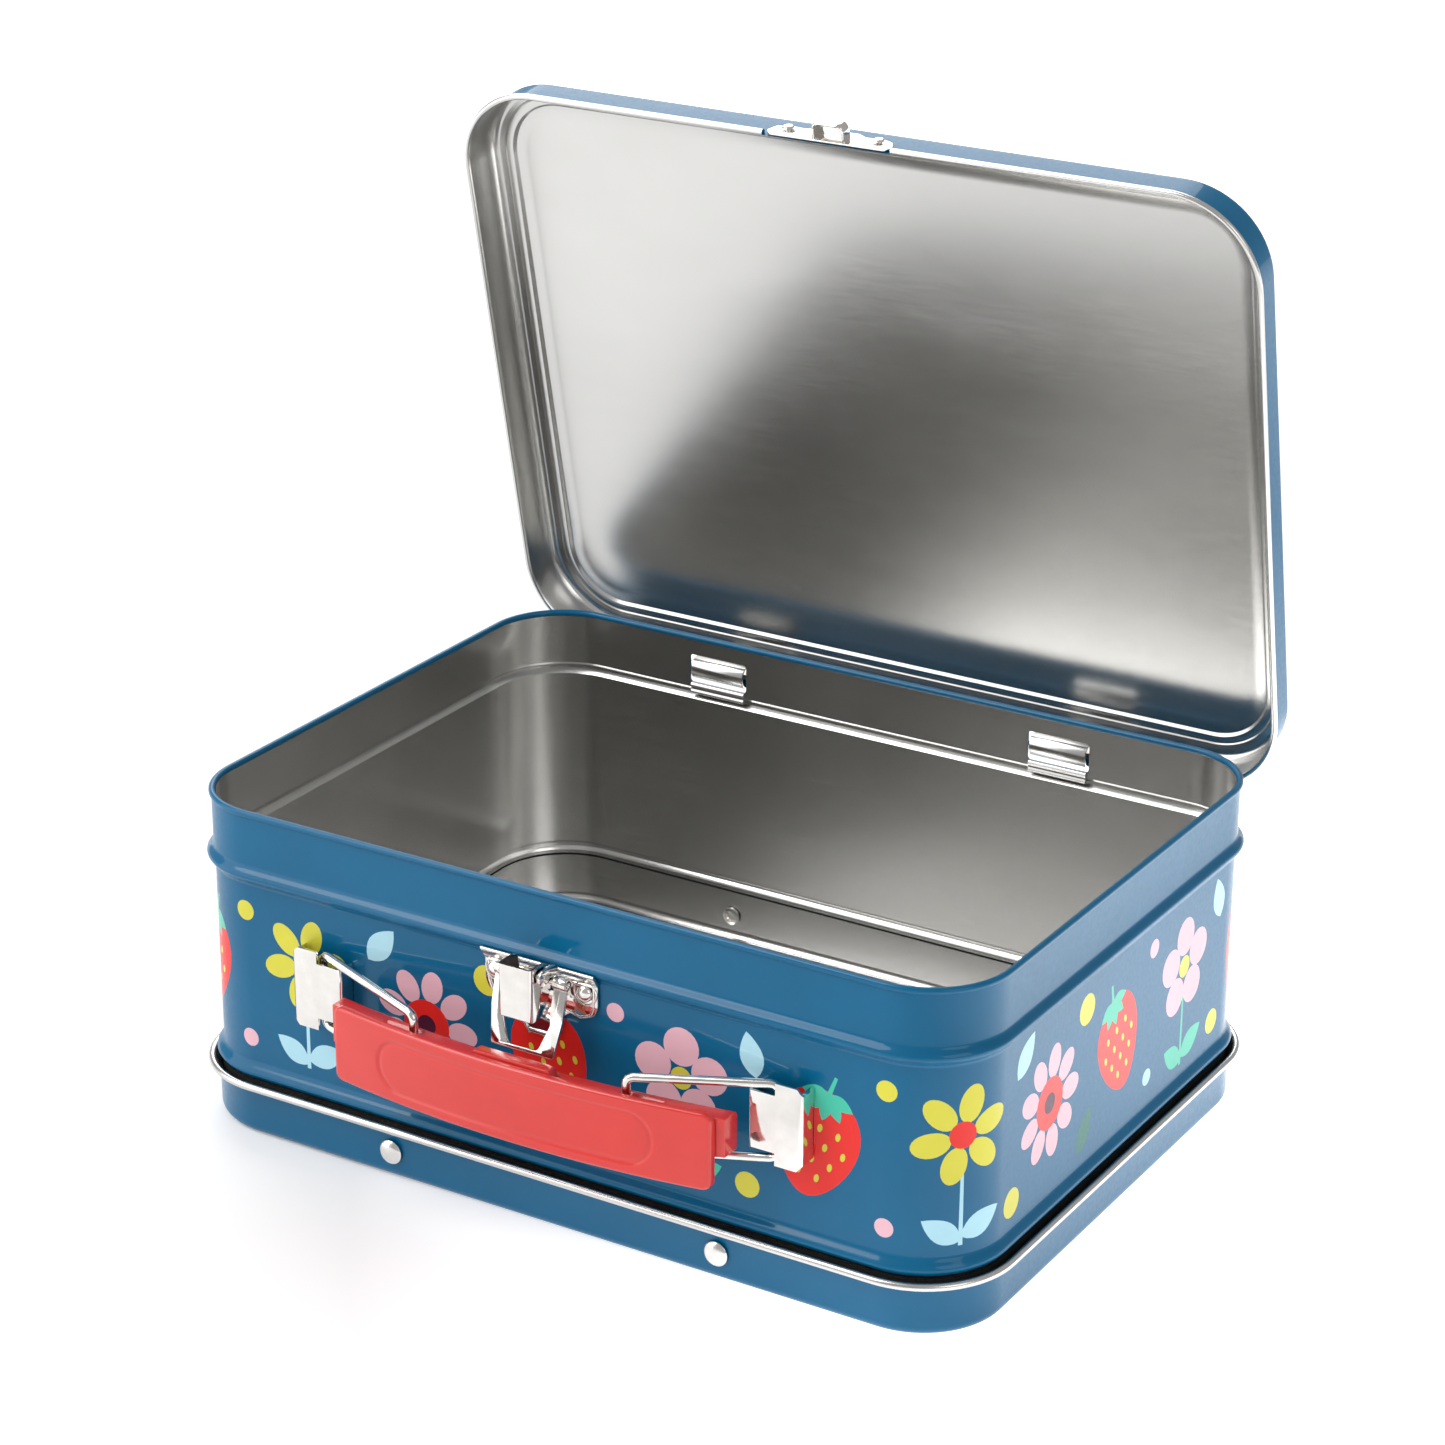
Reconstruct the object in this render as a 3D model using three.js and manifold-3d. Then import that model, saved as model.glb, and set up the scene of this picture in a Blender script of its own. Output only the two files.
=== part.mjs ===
import * as THREE from 'three';
import { mergeVertices } from 'three/addons/utils/BufferGeometryUtils.js';
import Module from 'manifold-3d';

// Tinplate lunch box with a hinged lid, a toggle latch and a carrying grip.
// Millimetres. +X right, -Y front, +Z up. The origin is the centre of the base pan's underside.
// An "offset" is a distance outwards from the rounded rectangle of the top rim.

const wasm = await Module();
wasm.setup();

// ---- driving dimensions -------------------------------------------------------------------------

const WIDTH = 200;               // rounded rectangle, left to right
const DEPTH = 146;               // rounded rectangle, front to back
const CORNER = 19.4;             // its corner radius
const CORNER_STEPS = 6;          // segments in each corner
const CORNER_CORE = 12;          // radius inside which a flat bottom or panel narrows to its middle
const SHEET = 0.35;              // tinplate thickness
const GAP = 0.3;                 // clearance kept between pieces that touch
const FRONT = -DEPTH / 2;        // y of the rounded rectangle's front side

const WALL = -0.9;               // offset of the main wall's outer face
const SKIRT = -0.6;              // offset of the band above its upper ridge
const FOOT_SKIRT = -0.45;        // offset of the band inside the pan
const BAND_LOW = 2.6;
const LOWER_RIDGE = { low: 13.2, peak: 15.7, high: 18.4, offset: 0.7 };
const UPPER_RIDGE = { low: 61.8, peak: 64.6, high: 67, offset: 0.9 };
const RIM = { offset: -0.8, z: 79.2, radius: 0.8 };

const PAN_WALL = 0.2;            // offset of the pan's outer face
const PAN_FILLET = 2.5;
const PAN_FLARE = 11.2;
const PAN_RIM = { offset: 1.9, z: 12.9, radius: 0.9 };

const LID_WALL = 0.85;           // offset of the lid's outer face
const LID_FILLET = 2.5;
const LID_TOP = 81.5;
const LID_PANEL_RISE = 0.8;
const LID_FLANGE = 4.6;          // offset inwards at which the panel's step starts
const LID_STEP = 0.6;
const LID_RIM = { offset: 1.3, z: 71.25, radius: 0.75 };
const LID_AXIS = { y: 74, z: 71 };
const LID_OPEN = THREE.MathUtils.degToRad(78);

const HINGE_X = 46.7;
const WINDOW = { width: 16, low: 67.5, high: 74.7 };
const TONGUE = { width: 14.6, radius: 2.7, thickness: 0.5, from: 150, to: 405, leave: 2.9, top: 7 };
const FLAP = { width: 15, low: 64.8, thickness: 0.5 };

const BASE_RIVET = { x: 42.3, z: 6.7, head: 3, height: 1.3, shank: 1.4, tail: 2.3 };
const LATCH_RIVET = { x: 11.3, z: 59.1, head: 2, height: 1.4, shank: 1, tail: 1.8 };
const CATCH_RIVET = { x: 11.5, z: 74.2, head: 1.5, height: 0.6, shank: 0.8, tail: 1.4 };
const TAIL = 0.7;                // thickness of a rivet's inner end
const CATCH_TAIL = 0.4;

const LATCH_X = -1.9;            // centre line of the latch and of the catch
const PLATE = { half: 14.3, bend: 61.4, thickness: 0.5 };
const PLATE_EDGE = [              // right half of its lower edge, from the tongue outwards: x, z
  [3.6, 46.2], [5.2, 48], [5.8, 52.3], [8, 53.8], [10.7, 52.9], [13.5, 54.1], [14.3, 56.3],
];
const PLATE_Y = FRONT - WALL - GAP;
const FLANGE = { y: -74.3, z: 64.3, root: 0.6, drop: 0.3 };
const EAR = { inner: 4.6, outer: 5.4, radius: 1.8 };
const EAR_ROOT = [[-73.3, 62.2], [-73.9, 63.6], [-75.4, 65.2]];
const EAR_HEEL = [-75, 62.7];
const LEVER = { half: 4.2, front: -83, low: 54, high: 66.3, thickness: 0.5 };
const LEVER_BACK = [              // its rear edge from the top down: y, z
  [-78.2, 66.3], [-76.04, 65.6], [-75.54, 64.16], [-75.5, 62.6], [-75.6, 58.6], [-79.6, 54],
];
const LEVER_PIN = { y: -79.5, z: 63.6, radius: 0.8, half: 5.5 };
const LOOP_PIN = { y: -76, z: 61.5, radius: 0.65, half: 9.2 };
const LOOP = { inner: 5.8, outer: 9, reach: 16.5, bar: 2.2, thickness: 0.8, knuckle: 1.5, lean: 15 };
const LOOP_CORNER = { outer: 3, inner: 1.8 };
const CATCH = { half: 16, thickness: 0.4 };
const CATCH_EDGE = [              // right half of its outline, from the bottom up: x, z
  [14.5, 70.7], [16, 72.3], [14.8, 74.8], [12, 75.8], [7.7, 75.4], [5.5, 76.6],
];
const NUB = { half: 4.3, low: 71.6, high: 75.2, out: 3.8, corner: 2.2 };

const BRACKET = { inner: 52, outer: 65, low: 34, high: 53, front: -77.1, thickness: 0.6, chamfer: 1.6 };
const NOTCH = { reach: 58.4, depth: 2.9 };
const TAB = { low: 38.5, high: 48.5, fold: 3.2, thickness: 0.6 };
const LINK = { x: 58, y: -74.9, radius: 1, low: 34.7, high: 51.9, hookX: 27, hookY: -84.6, bend: 2 };
const LINK_TOP_HOOK = { z: 49.3, end: 42.6 };
const LINK_LOW_HOOK = { z: 32.6, end: 38.4 };

const GRIP = { half: 48, low: 28.5, high: 46.3, front: -89.6, bow: 4.3, shell: 1.7 };
const CORE = { half: 50, low: 36, high: 45, depth: 7 };
const RIB = { half: 22.4, low: 30 };
const HUMP = { half: 10.5, front: -87.5, back: -84.9, high: 47 };
const POCKET = { inner: 25.4, outer: 35.6, front: -86.3, back: -82.9 };

// ---- materials ----------------------------------------------------------------------------------

const finishes = {
  blue: { color: 0x2f6f92, roughness: 0.35, metalness: 0.35 },
  tinplate: { color: 0xb9b7b4, roughness: 0.3, metalness: 1 },
  nickel: { color: 0xe0ddd8, roughness: 0.15, metalness: 1 },
  red: { color: 0xd9231d, roughness: 0.4, metalness: 0 },
};

// ---- solids -------------------------------------------------------------------------------------

function weld(geometry) {
  const bare = geometry.clone();
  bare.deleteAttribute('normal');
  bare.deleteAttribute('uv');
  const merged = mergeVertices(bare, 1e-5);
  const index = [];
  for (let i = 0; i < merged.index.count; i += 3) {
    const corners = [0, 1, 2].map((k) => merged.index.getX(i + k));
    if (new Set(corners).size === 3) {
      index.push(...corners);
    }
  }
  merged.setIndex(index);
  return merged;
}

function signedVolume(geometry) {
  const at = geometry.attributes.position;
  const corner = [0, 1, 2].map(() => new THREE.Vector3());
  let sum = 0;
  for (let i = 0; i < geometry.index.count; i += 3) {
    corner.forEach((v, k) => v.fromBufferAttribute(at, geometry.index.getX(i + k)));
    sum += corner[0].dot(corner[1].clone().cross(corner[2]));
  }
  return sum / 6;
}

function solid(geometry) {
  const welded = weld(geometry);
  const triVerts = new Uint32Array(welded.index.array);
  if (signedVolume(welded) < 0) {
    for (let i = 0; i < triVerts.length; i += 3) {
      [triVerts[i], triVerts[i + 1]] = [triVerts[i + 1], triVerts[i]];
    }
  }
  const vertProperties = new Float32Array(welded.attributes.position.array);
  return new wasm.Manifold(new wasm.Mesh({ numProp: 3, vertProperties, triVerts }));
}

function geometryOf(body) {
  const mesh = body.getMesh();
  const geometry = new THREE.BufferGeometry();
  geometry.setAttribute('position', new THREE.BufferAttribute(mesh.vertProperties, 3));
  geometry.setIndex(new THREE.BufferAttribute(mesh.triVerts, 1));
  geometry.computeVertexNormals();
  return geometry;
}

function join(...bodies) {
  return bodies.reduce((sum, body) => sum.add(body));
}

function cut(body, ...tools) {
  return tools.reduce((rest, tool) => rest.subtract(tool), body);
}

function box(x, y, z) {
  const geometry = new THREE.BoxGeometry(x[1] - x[0], y[1] - y[0], z[1] - z[0]);
  geometry.translate((x[0] + x[1]) / 2, (y[0] + y[1]) / 2, (z[0] + z[1]) / 2);
  return solid(geometry);
}

function extruded(points, length, right, up, along) {
  const shape = new THREE.Shape(points.map(([a, b]) => new THREE.Vector2(a, b)));
  const geometry = new THREE.ExtrudeGeometry(shape, { depth: length, bevelEnabled: false });
  geometry.applyMatrix4(new THREE.Matrix4().makeBasis(right, up, along));
  return geometry;
}

const X = new THREE.Vector3(1, 0, 0);
const Y = new THREE.Vector3(0, 1, 0);
const Z = new THREE.Vector3(0, 0, 1);

// An outline of [y, z] points carried from x[0] to x[1].
function prismX(points, x) {
  return solid(extruded(points, x[1] - x[0], Y, Z, X).translate(x[0], 0, 0));
}

// An outline of [x, z] points carried from y[1] forwards to y[0].
function prismY(points, y) {
  return solid(extruded(points, y[1] - y[0], X, Z, Y.clone().negate()).translate(0, y[1], 0));
}

// An outline of [x, y] points carried from z[0] to z[1].
function prismZ(points, z) {
  return solid(extruded(points, z[1] - z[0], X, Y, Z).translate(0, 0, z[0]));
}

// A rod along X at the given y and z.
function rodX(y, z, radius, x, sides = 16) {
  const geometry = new THREE.CylinderGeometry(radius, radius, x[1] - x[0], sides);
  geometry.rotateZ(Math.PI / 2).translate((x[0] + x[1]) / 2, y, z);
  return solid(geometry);
}

// A rod along Y at the given x and z.
function rodY(x, z, radius, y, sides = 16) {
  const geometry = new THREE.CylinderGeometry(radius, radius, y[1] - y[0], sides);
  geometry.translate(x, (y[0] + y[1]) / 2, z);
  return solid(geometry);
}

// Points of an arc; angles in degrees.
function arc(a, b, radius, from, to, steps) {
  const points = [];
  for (let i = 0; i <= steps; i += 1) {
    const angle = THREE.MathUtils.degToRad(from + ((to - from) * i) / steps);
    points.push([a + radius * Math.cos(angle), b + radius * Math.sin(angle)]);
  }
  return points;
}

// A profile of [offset, z] points carried round the rounded rectangle. A profile that reaches the
// middle starts and ends with a point whose offset is -CORNER.
function around(profile) {
  const segments = 4 * CORNER_STEPS;
  const half = Math.PI / segments;
  const points = profile.map(([offset, z]) => new THREE.Vector2((CORNER + offset) / Math.cos(half), z));
  const geometry = new THREE.LatheGeometry(points, segments, half);
  const at = geometry.attributes.position;
  for (let i = 0; i < at.count; i += 1) {
    const x = at.getX(i);
    const y = at.getZ(i);
    const spread = Math.min(Math.hypot(x, y) / CORNER_CORE, 1);
    const moved = [
      x + Math.sign(x) * spread * (WIDTH / 2 - CORNER),
      y + Math.sign(y) * spread * (DEPTH / 2 - CORNER),
    ];
    at.setXYZ(i, moved[0], moved[1], at.getY(i));
  }
  return solid(geometry);
}

// The outer face of a ridge as a smooth bump between two offsets.
function ridge(shape, before, after) {
  const points = [];
  const steps = 4;
  for (let i = 1; i < 2 * steps; i += 1) {
    const rising = i <= steps;
    const t = rising ? i / steps : (i - steps) / steps;
    const [z0, z1] = rising ? [shape.low, shape.peak] : [shape.peak, shape.high];
    const [d0, d1] = rising ? [before, shape.offset] : [shape.offset, after];
    points.push([d0 + (d1 - d0) * (0.5 - 0.5 * Math.cos(Math.PI * t)), z0 + (z1 - z0) * t]);
  }
  return points;
}

// A domed rivet whose axis is Y. It starts at the face that the head sits on and points forwards
// (side -1) or backwards (side 1); grip is the distance from the head's seat to the inner end.
function rivet(size, x, seatY, grip, side, tail = TAIL) {
  const dome = arc(0, 0, 1, 12, 90, 4).map(([a, b]) => [size.head * a, size.height * b]);
  const profile = [
    [0, -grip - tail],
    [size.tail, -grip - tail],
    [size.tail, -grip],
    [size.shank, -grip],
    [size.shank, 0],
    [size.head, 0],
    ...dome,
  ];
  profile[profile.length - 1] = [0, size.height];
  const geometry = new THREE.LatheGeometry(profile.map(([r, h]) => new THREE.Vector2(r, h)), 16);
  if (side < 0) {
    geometry.rotateX(Math.PI);
  }
  return solid(geometry.translate(x, seatY, size.z));
}

// ---- case: band, pan and their rivets -----------------------------------------------------------

function bandProfile() {
  const meeting = (offset) => THREE.MathUtils.radToDeg(Math.acos((offset - RIM.offset) / RIM.radius));
  const outer = [
    [FOOT_SKIRT, BAND_LOW],
    [FOOT_SKIRT, LOWER_RIDGE.low - 0.8],
    [WALL, LOWER_RIDGE.low],
    ...ridge(LOWER_RIDGE, WALL, WALL),
    [WALL, LOWER_RIDGE.high],
    [WALL, UPPER_RIDGE.low],
    ...ridge(UPPER_RIDGE, WALL, SKIRT),
    [SKIRT, UPPER_RIDGE.high],
  ];
  const inner = outer.map(([offset, z]) => [offset - SHEET, z]).reverse();
  const curl = arc(RIM.offset, RIM.z, RIM.radius, -meeting(SKIRT), 360 - meeting(SKIRT - SHEET), 9);
  return [...outer, ...curl, ...inner, outer[0]];
}

function bodyBand() {
  const rear = DEPTH / 2 + SKIRT;
  const windows = [-1, 1].map((side) => box(
    [side * HINGE_X - WINDOW.width / 2, side * HINGE_X + WINDOW.width / 2],
    [rear - 2, rear + 2],
    [WINDOW.low, WINDOW.high],
  ));
  const flaps = [-1, 1].map((side) => box(
    [side * HINGE_X - FLAP.width / 2, side * HINGE_X + FLAP.width / 2],
    [rear - SHEET - FLAP.thickness, rear - SHEET / 2],
    [FLAP.low, WINDOW.low],
  ));
  const baseHoles = [-1, 1].map((side) => rodY(
    side * BASE_RIVET.x, BASE_RIVET.z, BASE_RIVET.shank + GAP, [-DEPTH, DEPTH],
  ));
  const latchHoles = [-1, 1].map((side) => rodY(
    LATCH_X + side * LATCH_RIVET.x, LATCH_RIVET.z, LATCH_RIVET.shank + GAP, [-DEPTH, 0],
  ));
  const slits = tabSides().map((x) => box(
    [x[0] - GAP, x[1] + GAP], [FRONT - 2, FRONT + 4], [TAB.low - GAP, TAB.high + GAP],
  ));
  const ring = around(bandProfile());
  return cut(join(ring, ...flaps), ...windows, ...baseHoles, ...latchHoles, ...slits);
}

function basePan() {
  const curl = arc(PAN_RIM.offset, PAN_RIM.z, PAN_RIM.radius, -135, 180, 10);
  const corner = [PAN_WALL - PAN_FILLET, PAN_FILLET];
  const profile = [
    [-CORNER, 0],
    ...arc(...corner, PAN_FILLET, -90, 0, 4),
    [PAN_WALL, PAN_FLARE],
    ...curl,
    [PAN_WALL - SHEET, PAN_FLARE + 0.4],
    ...arc(...corner, PAN_FILLET - SHEET, 0, -90, 4),
    [-CORNER, SHEET],
  ];
  const holes = [-1, 1].map((side) => rodY(
    side * BASE_RIVET.x, BASE_RIVET.z, BASE_RIVET.shank + GAP, [-DEPTH, DEPTH],
  ));
  return cut(around(profile), ...holes);
}

function baseRivet(x, side) {
  const seat = DEPTH / 2 + PAN_WALL + GAP;
  const grip = PAN_WALL - FOOT_SKIRT + SHEET + 2 * GAP;
  return rivet(BASE_RIVET, x, side * seat, grip, side);
}

// ---- latch --------------------------------------------------------------------------------------

// An outline symmetrical about the latch's centre line, from its right half.
function aboutLatch(right) {
  const left = right.map(([x, z]) => [-x, z]).reverse();
  return [...right, ...left].map(([x, z]) => [LATCH_X + x, z]);
}

function latchPlate() {
  const { half, bend, thickness } = PLATE;
  const sheet = prismY(aboutLatch([...PLATE_EDGE, [half, bend]]), [PLATE_Y - thickness, PLATE_Y]);
  const lip = prismX(
    [
      [PLATE_Y, bend - FLANGE.root],
      [PLATE_Y, bend],
      [FLANGE.y, FLANGE.z],
      [FLANGE.y - thickness, FLANGE.z - FLANGE.drop],
      [PLATE_Y - thickness, bend - FLANGE.root],
    ],
    [LATCH_X - half, LATCH_X + half],
  );
  const ears = [-1, 1].map(latchEar);
  const holes = [-1, 1].map((side) => rodY(
    LATCH_X + side * LATCH_RIVET.x, LATCH_RIVET.z, LATCH_RIVET.shank + GAP, [PLATE_Y - 3, PLATE_Y + 1],
  ));
  return cut(join(sheet, lip, ...ears), ...holes, pinBore(LEVER_PIN));
}

function latchEar(side) {
  const nose = arc(LEVER_PIN.y, LEVER_PIN.z, EAR.radius, 90, 270, 8);
  const faces = [LATCH_X + side * EAR.inner, LATCH_X + side * EAR.outer];
  return prismX([...EAR_ROOT, ...nose, EAR_HEEL], faces.sort((a, b) => a - b));
}

function pin(size) {
  return rodX(size.y, size.z, size.radius, [LATCH_X - size.half, LATCH_X + size.half], 12);
}

// What a pin's hole removes from the pieces that it passes through.
function pinBore(size) {
  return rodX(size.y, size.z, size.radius + GAP, [LATCH_X - 2 * size.half, LATCH_X + 2 * size.half]);
}

function latchLever() {
  const { half, front, low, high, thickness } = LEVER;
  const block = prismX([[front, low], [front, high], ...LEVER_BACK], [LATCH_X - half, LATCH_X + half]);
  const hollow = box(
    [LATCH_X - half + thickness, LATCH_X + half - thickness],
    [front + thickness, 0],
    [low - 1, high + 1],
  );
  return cut(block, hollow, pinBore(LEVER_PIN), pinBore(LOOP_PIN));
}

// The loop is drawn hanging straight down from its pin, and is then leaned forwards.
function latchLoop() {
  const { inner, outer, reach, bar, thickness, knuckle, lean } = LOOP;
  const low = LOOP_PIN.z - reach;
  const outline = aboutLatch([
    [outer - LOOP_CORNER.outer, low],
    ...arc(outer - LOOP_CORNER.outer, low + LOOP_CORNER.outer, LOOP_CORNER.outer, -60, 0, 3),
    [outer, LOOP_PIN.z],
  ]);
  const sheet = prismY(outline, [LOOP_PIN.y - thickness / 2, LOOP_PIN.y + thickness / 2]);
  const floor = low + bar;
  const hole = aboutLatch([
    [inner + 0.4 - LOOP_CORNER.inner, floor],
    ...arc(inner + 0.4 - LOOP_CORNER.inner, floor + LOOP_CORNER.inner, LOOP_CORNER.inner, -60, 0, 3),
    [inner, LOOP_PIN.z - 5],
    [inner, LOOP_PIN.z + 2],
  ]);
  const opening = prismY(hole, [LOOP_PIN.y - 3, LOOP_PIN.y + 3]);
  const knuckles = [-1, 1].map((side) => {
    const ends = [LATCH_X + side * inner, LATCH_X + side * outer].sort((a, b) => a - b);
    return rodX(LOOP_PIN.y, LOOP_PIN.z, knuckle, ends, 14);
  });
  const geometry = geometryOf(cut(join(sheet, ...knuckles), opening, pinBore(LOOP_PIN)));
  geometry.translate(0, -LOOP_PIN.y, -LOOP_PIN.z);
  geometry.rotateX(-THREE.MathUtils.degToRad(lean));
  return solid(geometry.translate(0, LOOP_PIN.y, LOOP_PIN.z));
}

// ---- carrying handle ----------------------------------------------------------------------------

// The x ranges of the four bracket tabs that pass through the front wall.
function tabSides() {
  const { inner, outer } = BRACKET;
  const right = [[inner, inner + TAB.thickness], [outer - TAB.thickness, outer]];
  return [...right, ...right.map(([a, b]) => [-b, -a])];
}

// Drawn on the right; the left one is its mirror image.
function handleBracket(side) {
  const { inner, outer, low, high, front, thickness, chamfer } = BRACKET;
  const back = PLATE_Y;
  const outline = [
    [inner + chamfer, low], [outer - chamfer, low], [outer, low + chamfer],
    [outer, high - chamfer], [outer - chamfer, high], [inner + chamfer, high],
    [inner, high - chamfer], [inner, low + chamfer],
  ];
  const shell = prismY(outline, [front, back]);
  const hollow = box([inner + thickness, outer - thickness], [front + thickness, 0], [low - 1, high + 1]);
  const notches = [
    box([inner - 1, NOTCH.reach], [front - 1, back + 1], [high - NOTCH.depth, high + 1]),
    box([inner - 1, NOTCH.reach], [front - 1, back + 1], [low - 1, low + NOTCH.depth]),
  ];
  const inside = FRONT - WALL + SHEET + GAP;
  const tabs = [[inner, inner + thickness, -1], [outer - thickness, outer, 1]].flatMap(([a, b, way]) => [
    box([a, b], [back - 0.5, inside + TAB.thickness], [TAB.low, TAB.high]),
    box(
      way < 0 ? [a - TAB.fold, b] : [a, b + TAB.fold],
      [inside, inside + TAB.thickness],
      [TAB.low, TAB.high],
    ),
  ]);
  return mirrored(join(cut(shell, hollow, ...notches), ...tabs), side);
}

function mirrored(body, side) {
  const geometry = geometryOf(body);
  return solid(side < 0 ? geometry.scale(-1, 1, 1) : geometry);
}

// A wire through the given points, with the corners rounded.
function wire(points, radius, bend, sides = 8) {
  const at = points.map((p) => new THREE.Vector3(...p));
  const path = new THREE.CurvePath();
  let from = at[0];
  for (let i = 1; i < at.length - 1; i += 1) {
    const reach = Math.min(bend, at[i].distanceTo(at[i - 1]) / 2, at[i].distanceTo(at[i + 1]) / 2);
    const before = at[i].clone().lerp(at[i - 1], reach / at[i].distanceTo(at[i - 1]));
    const after = at[i].clone().lerp(at[i + 1], reach / at[i].distanceTo(at[i + 1]));
    path.add(new THREE.LineCurve3(from, before));
    path.add(new THREE.QuadraticBezierCurve3(before, at[i], after));
    from = after;
  }
  path.add(new THREE.LineCurve3(from, at[at.length - 1]));
  const section = new THREE.Shape(
    arc(0, 0, radius, 0, 360 - 360 / sides, sides - 1).map(([a, b]) => new THREE.Vector2(a, b)),
  );
  const steps = Math.round(path.getLength() / 1.7);
  return solid(new THREE.ExtrudeGeometry(section, { steps, extrudePath: path, bevelEnabled: false }));
}

function handleLink(side) {
  const { x, y, low, high, hookX, hookY, radius, bend } = LINK;
  return wire(
    [
      [side * hookX, hookY, LINK_TOP_HOOK.end],
      [side * hookX, hookY, LINK_TOP_HOOK.z],
      [side * x, y, high],
      [side * x, y, low],
      [side * hookX, hookY, LINK_LOW_HOOK.z],
      [side * hookX, hookY, LINK_LOW_HOOK.end],
    ],
    radius,
    bend,
  );
}

// y of the grip's front face, which bows forwards.
function gripFront(x) {
  return GRIP.front + GRIP.bow * (x / GRIP.half) ** 2;
}

// A plan outline between two distances behind the grip's front face.
function bowedOutline(half, near, far) {
  const steps = 12;
  const points = [];
  for (let i = 0; i <= steps; i += 1) {
    const x = -half + (2 * half * i) / steps;
    points.push([x, gripFront(x) + near]);
  }
  for (let i = steps; i >= 0; i -= 1) {
    const x = -half + (2 * half * i) / steps;
    points.push([x, gripFront(x) + far]);
  }
  return points;
}

function handleGrip() {
  return prismZ(bowedOutline(GRIP.half, 0, GRIP.shell), [GRIP.low, GRIP.high]);
}

function handleGripBack() {
  const bar = prismZ(bowedOutline(CORE.half, GRIP.shell + GAP, CORE.depth), [CORE.low, CORE.high]);
  const rib = prismZ(bowedOutline(RIB.half, GRIP.shell + GAP, CORE.depth), [RIB.low, CORE.low + 1]);
  const hump = box([-HUMP.half, HUMP.half], [HUMP.front, HUMP.back], [CORE.high - 1, HUMP.high]);
  const pockets = [-1, 1].map((side) => {
    const ends = [side * POCKET.inner, side * POCKET.outer].sort((a, b) => a - b);
    return box(ends, [POCKET.front - 1, POCKET.back], [CORE.low - 1, CORE.high + 1]);
  });
  return cut(join(bar, rib, hump), ...pockets);
}

// ---- lid ----------------------------------------------------------------------------------------
// The lid's pieces are drawn closed; the group below opens them.

function lidPan() {
  const corner = [LID_WALL - LID_FILLET, LID_TOP - LID_FILLET];
  const curlStart = THREE.MathUtils.radToDeg(Math.acos((LID_WALL - LID_RIM.offset) / LID_RIM.radius));
  const profile = [
    [-CORNER, LID_TOP + LID_PANEL_RISE],
    [-LID_FLANGE - LID_STEP, LID_TOP + LID_PANEL_RISE],
    [-LID_FLANGE, LID_TOP],
    ...arc(...corner, LID_FILLET, 90, 0, 5),
    ...arc(LID_RIM.offset, LID_RIM.z, LID_RIM.radius, curlStart, -180, 9),
    [LID_WALL - SHEET, LID_RIM.z + LID_RIM.radius],
    ...arc(...corner, LID_FILLET - SHEET, 0, 90, 5),
    [-LID_FLANGE - 0.25, LID_TOP - SHEET],
    [-LID_FLANGE - LID_STEP - 0.25, LID_TOP + LID_PANEL_RISE - SHEET],
    [-CORNER, LID_TOP + LID_PANEL_RISE - SHEET],
  ];
  const skirtY = FRONT - LID_WALL;
  const notch = box(
    [LATCH_X - CATCH.half - GAP, LATCH_X + CATCH.half + GAP],
    [skirtY - 4, skirtY - 0.02],
    [LID_RIM.z - 2, LID_RIM.z + 1.2],
  );
  const holes = [-1, 1].map((side) => rodY(
    LATCH_X + side * CATCH_RIVET.x, CATCH_RIVET.z, CATCH_RIVET.shank + GAP, [skirtY - 2, skirtY + 2],
  ));
  return cut(around(profile), notch, ...holes);
}

function hingeTongue(side) {
  const { width, radius, thickness, from, to, leave, top } = TONGUE;
  const { y, z } = LID_AXIS;
  const face = DEPTH / 2 + LID_WALL + GAP;
  const outline = [
    ...arc(y, z, radius + thickness / 2, from, to, 18),
    [face + thickness, z + leave + GAP],
    [face + thickness, z + top],
    [face, z + top],
    [face, z + leave],
    ...arc(y, z, radius - thickness / 2, to, from, 18),
  ];
  return prismX(outline, [side * HINGE_X - width / 2, side * HINGE_X + width / 2]);
}

function catchPlate() {
  const back = FRONT - LID_WALL - GAP;
  const sheet = prismY(aboutLatch(CATCH_EDGE), [back - CATCH.thickness, back]);
  const tip = back - CATCH.thickness - NUB.out;
  const arch = aboutLatch([
    ...arc(NUB.half - NUB.corner, tip + NUB.corner, NUB.corner, -90, 0, 4),
    [NUB.half, back - CATCH.thickness / 2],
  ]);
  const nub = prismZ(arch, [NUB.low, NUB.high]);
  const holes = [-1, 1].map((side) => rodY(
    LATCH_X + side * CATCH_RIVET.x, CATCH_RIVET.z, CATCH_RIVET.shank + GAP, [back - 2, back + 1],
  ));
  return cut(join(sheet, nub), ...holes);
}

function catchRivet(side) {
  const seat = FRONT - LID_WALL - 2 * GAP - CATCH.thickness;
  const grip = CATCH.thickness + SHEET + 3 * GAP;
  return rivet(CATCH_RIVET, LATCH_X + side * CATCH_RIVET.x, seat, grip, -1, CATCH_TAIL);
}

// ---- assembly -----------------------------------------------------------------------------------

function mesh(name, body, finish) {
  const item = new THREE.Mesh(geometryOf(body), new THREE.MeshStandardMaterial(finish));
  item.name = name;
  return item;
}

const SIDES = [['left', -1], ['right', 1]];
const ENDS = [['front', -1], ['rear', 1]];
const lunchBox = new THREE.Group();

lunchBox.add(mesh('body_band', bodyBand(), finishes.blue));
lunchBox.add(mesh('base_pan', basePan(), finishes.blue));
for (const [end, way] of ENDS) {
  for (const [name, side] of SIDES) {
    lunchBox.add(mesh(`base_rivet_${end}_${name}`, baseRivet(side * BASE_RIVET.x, way), finishes.nickel));
  }
}

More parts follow.
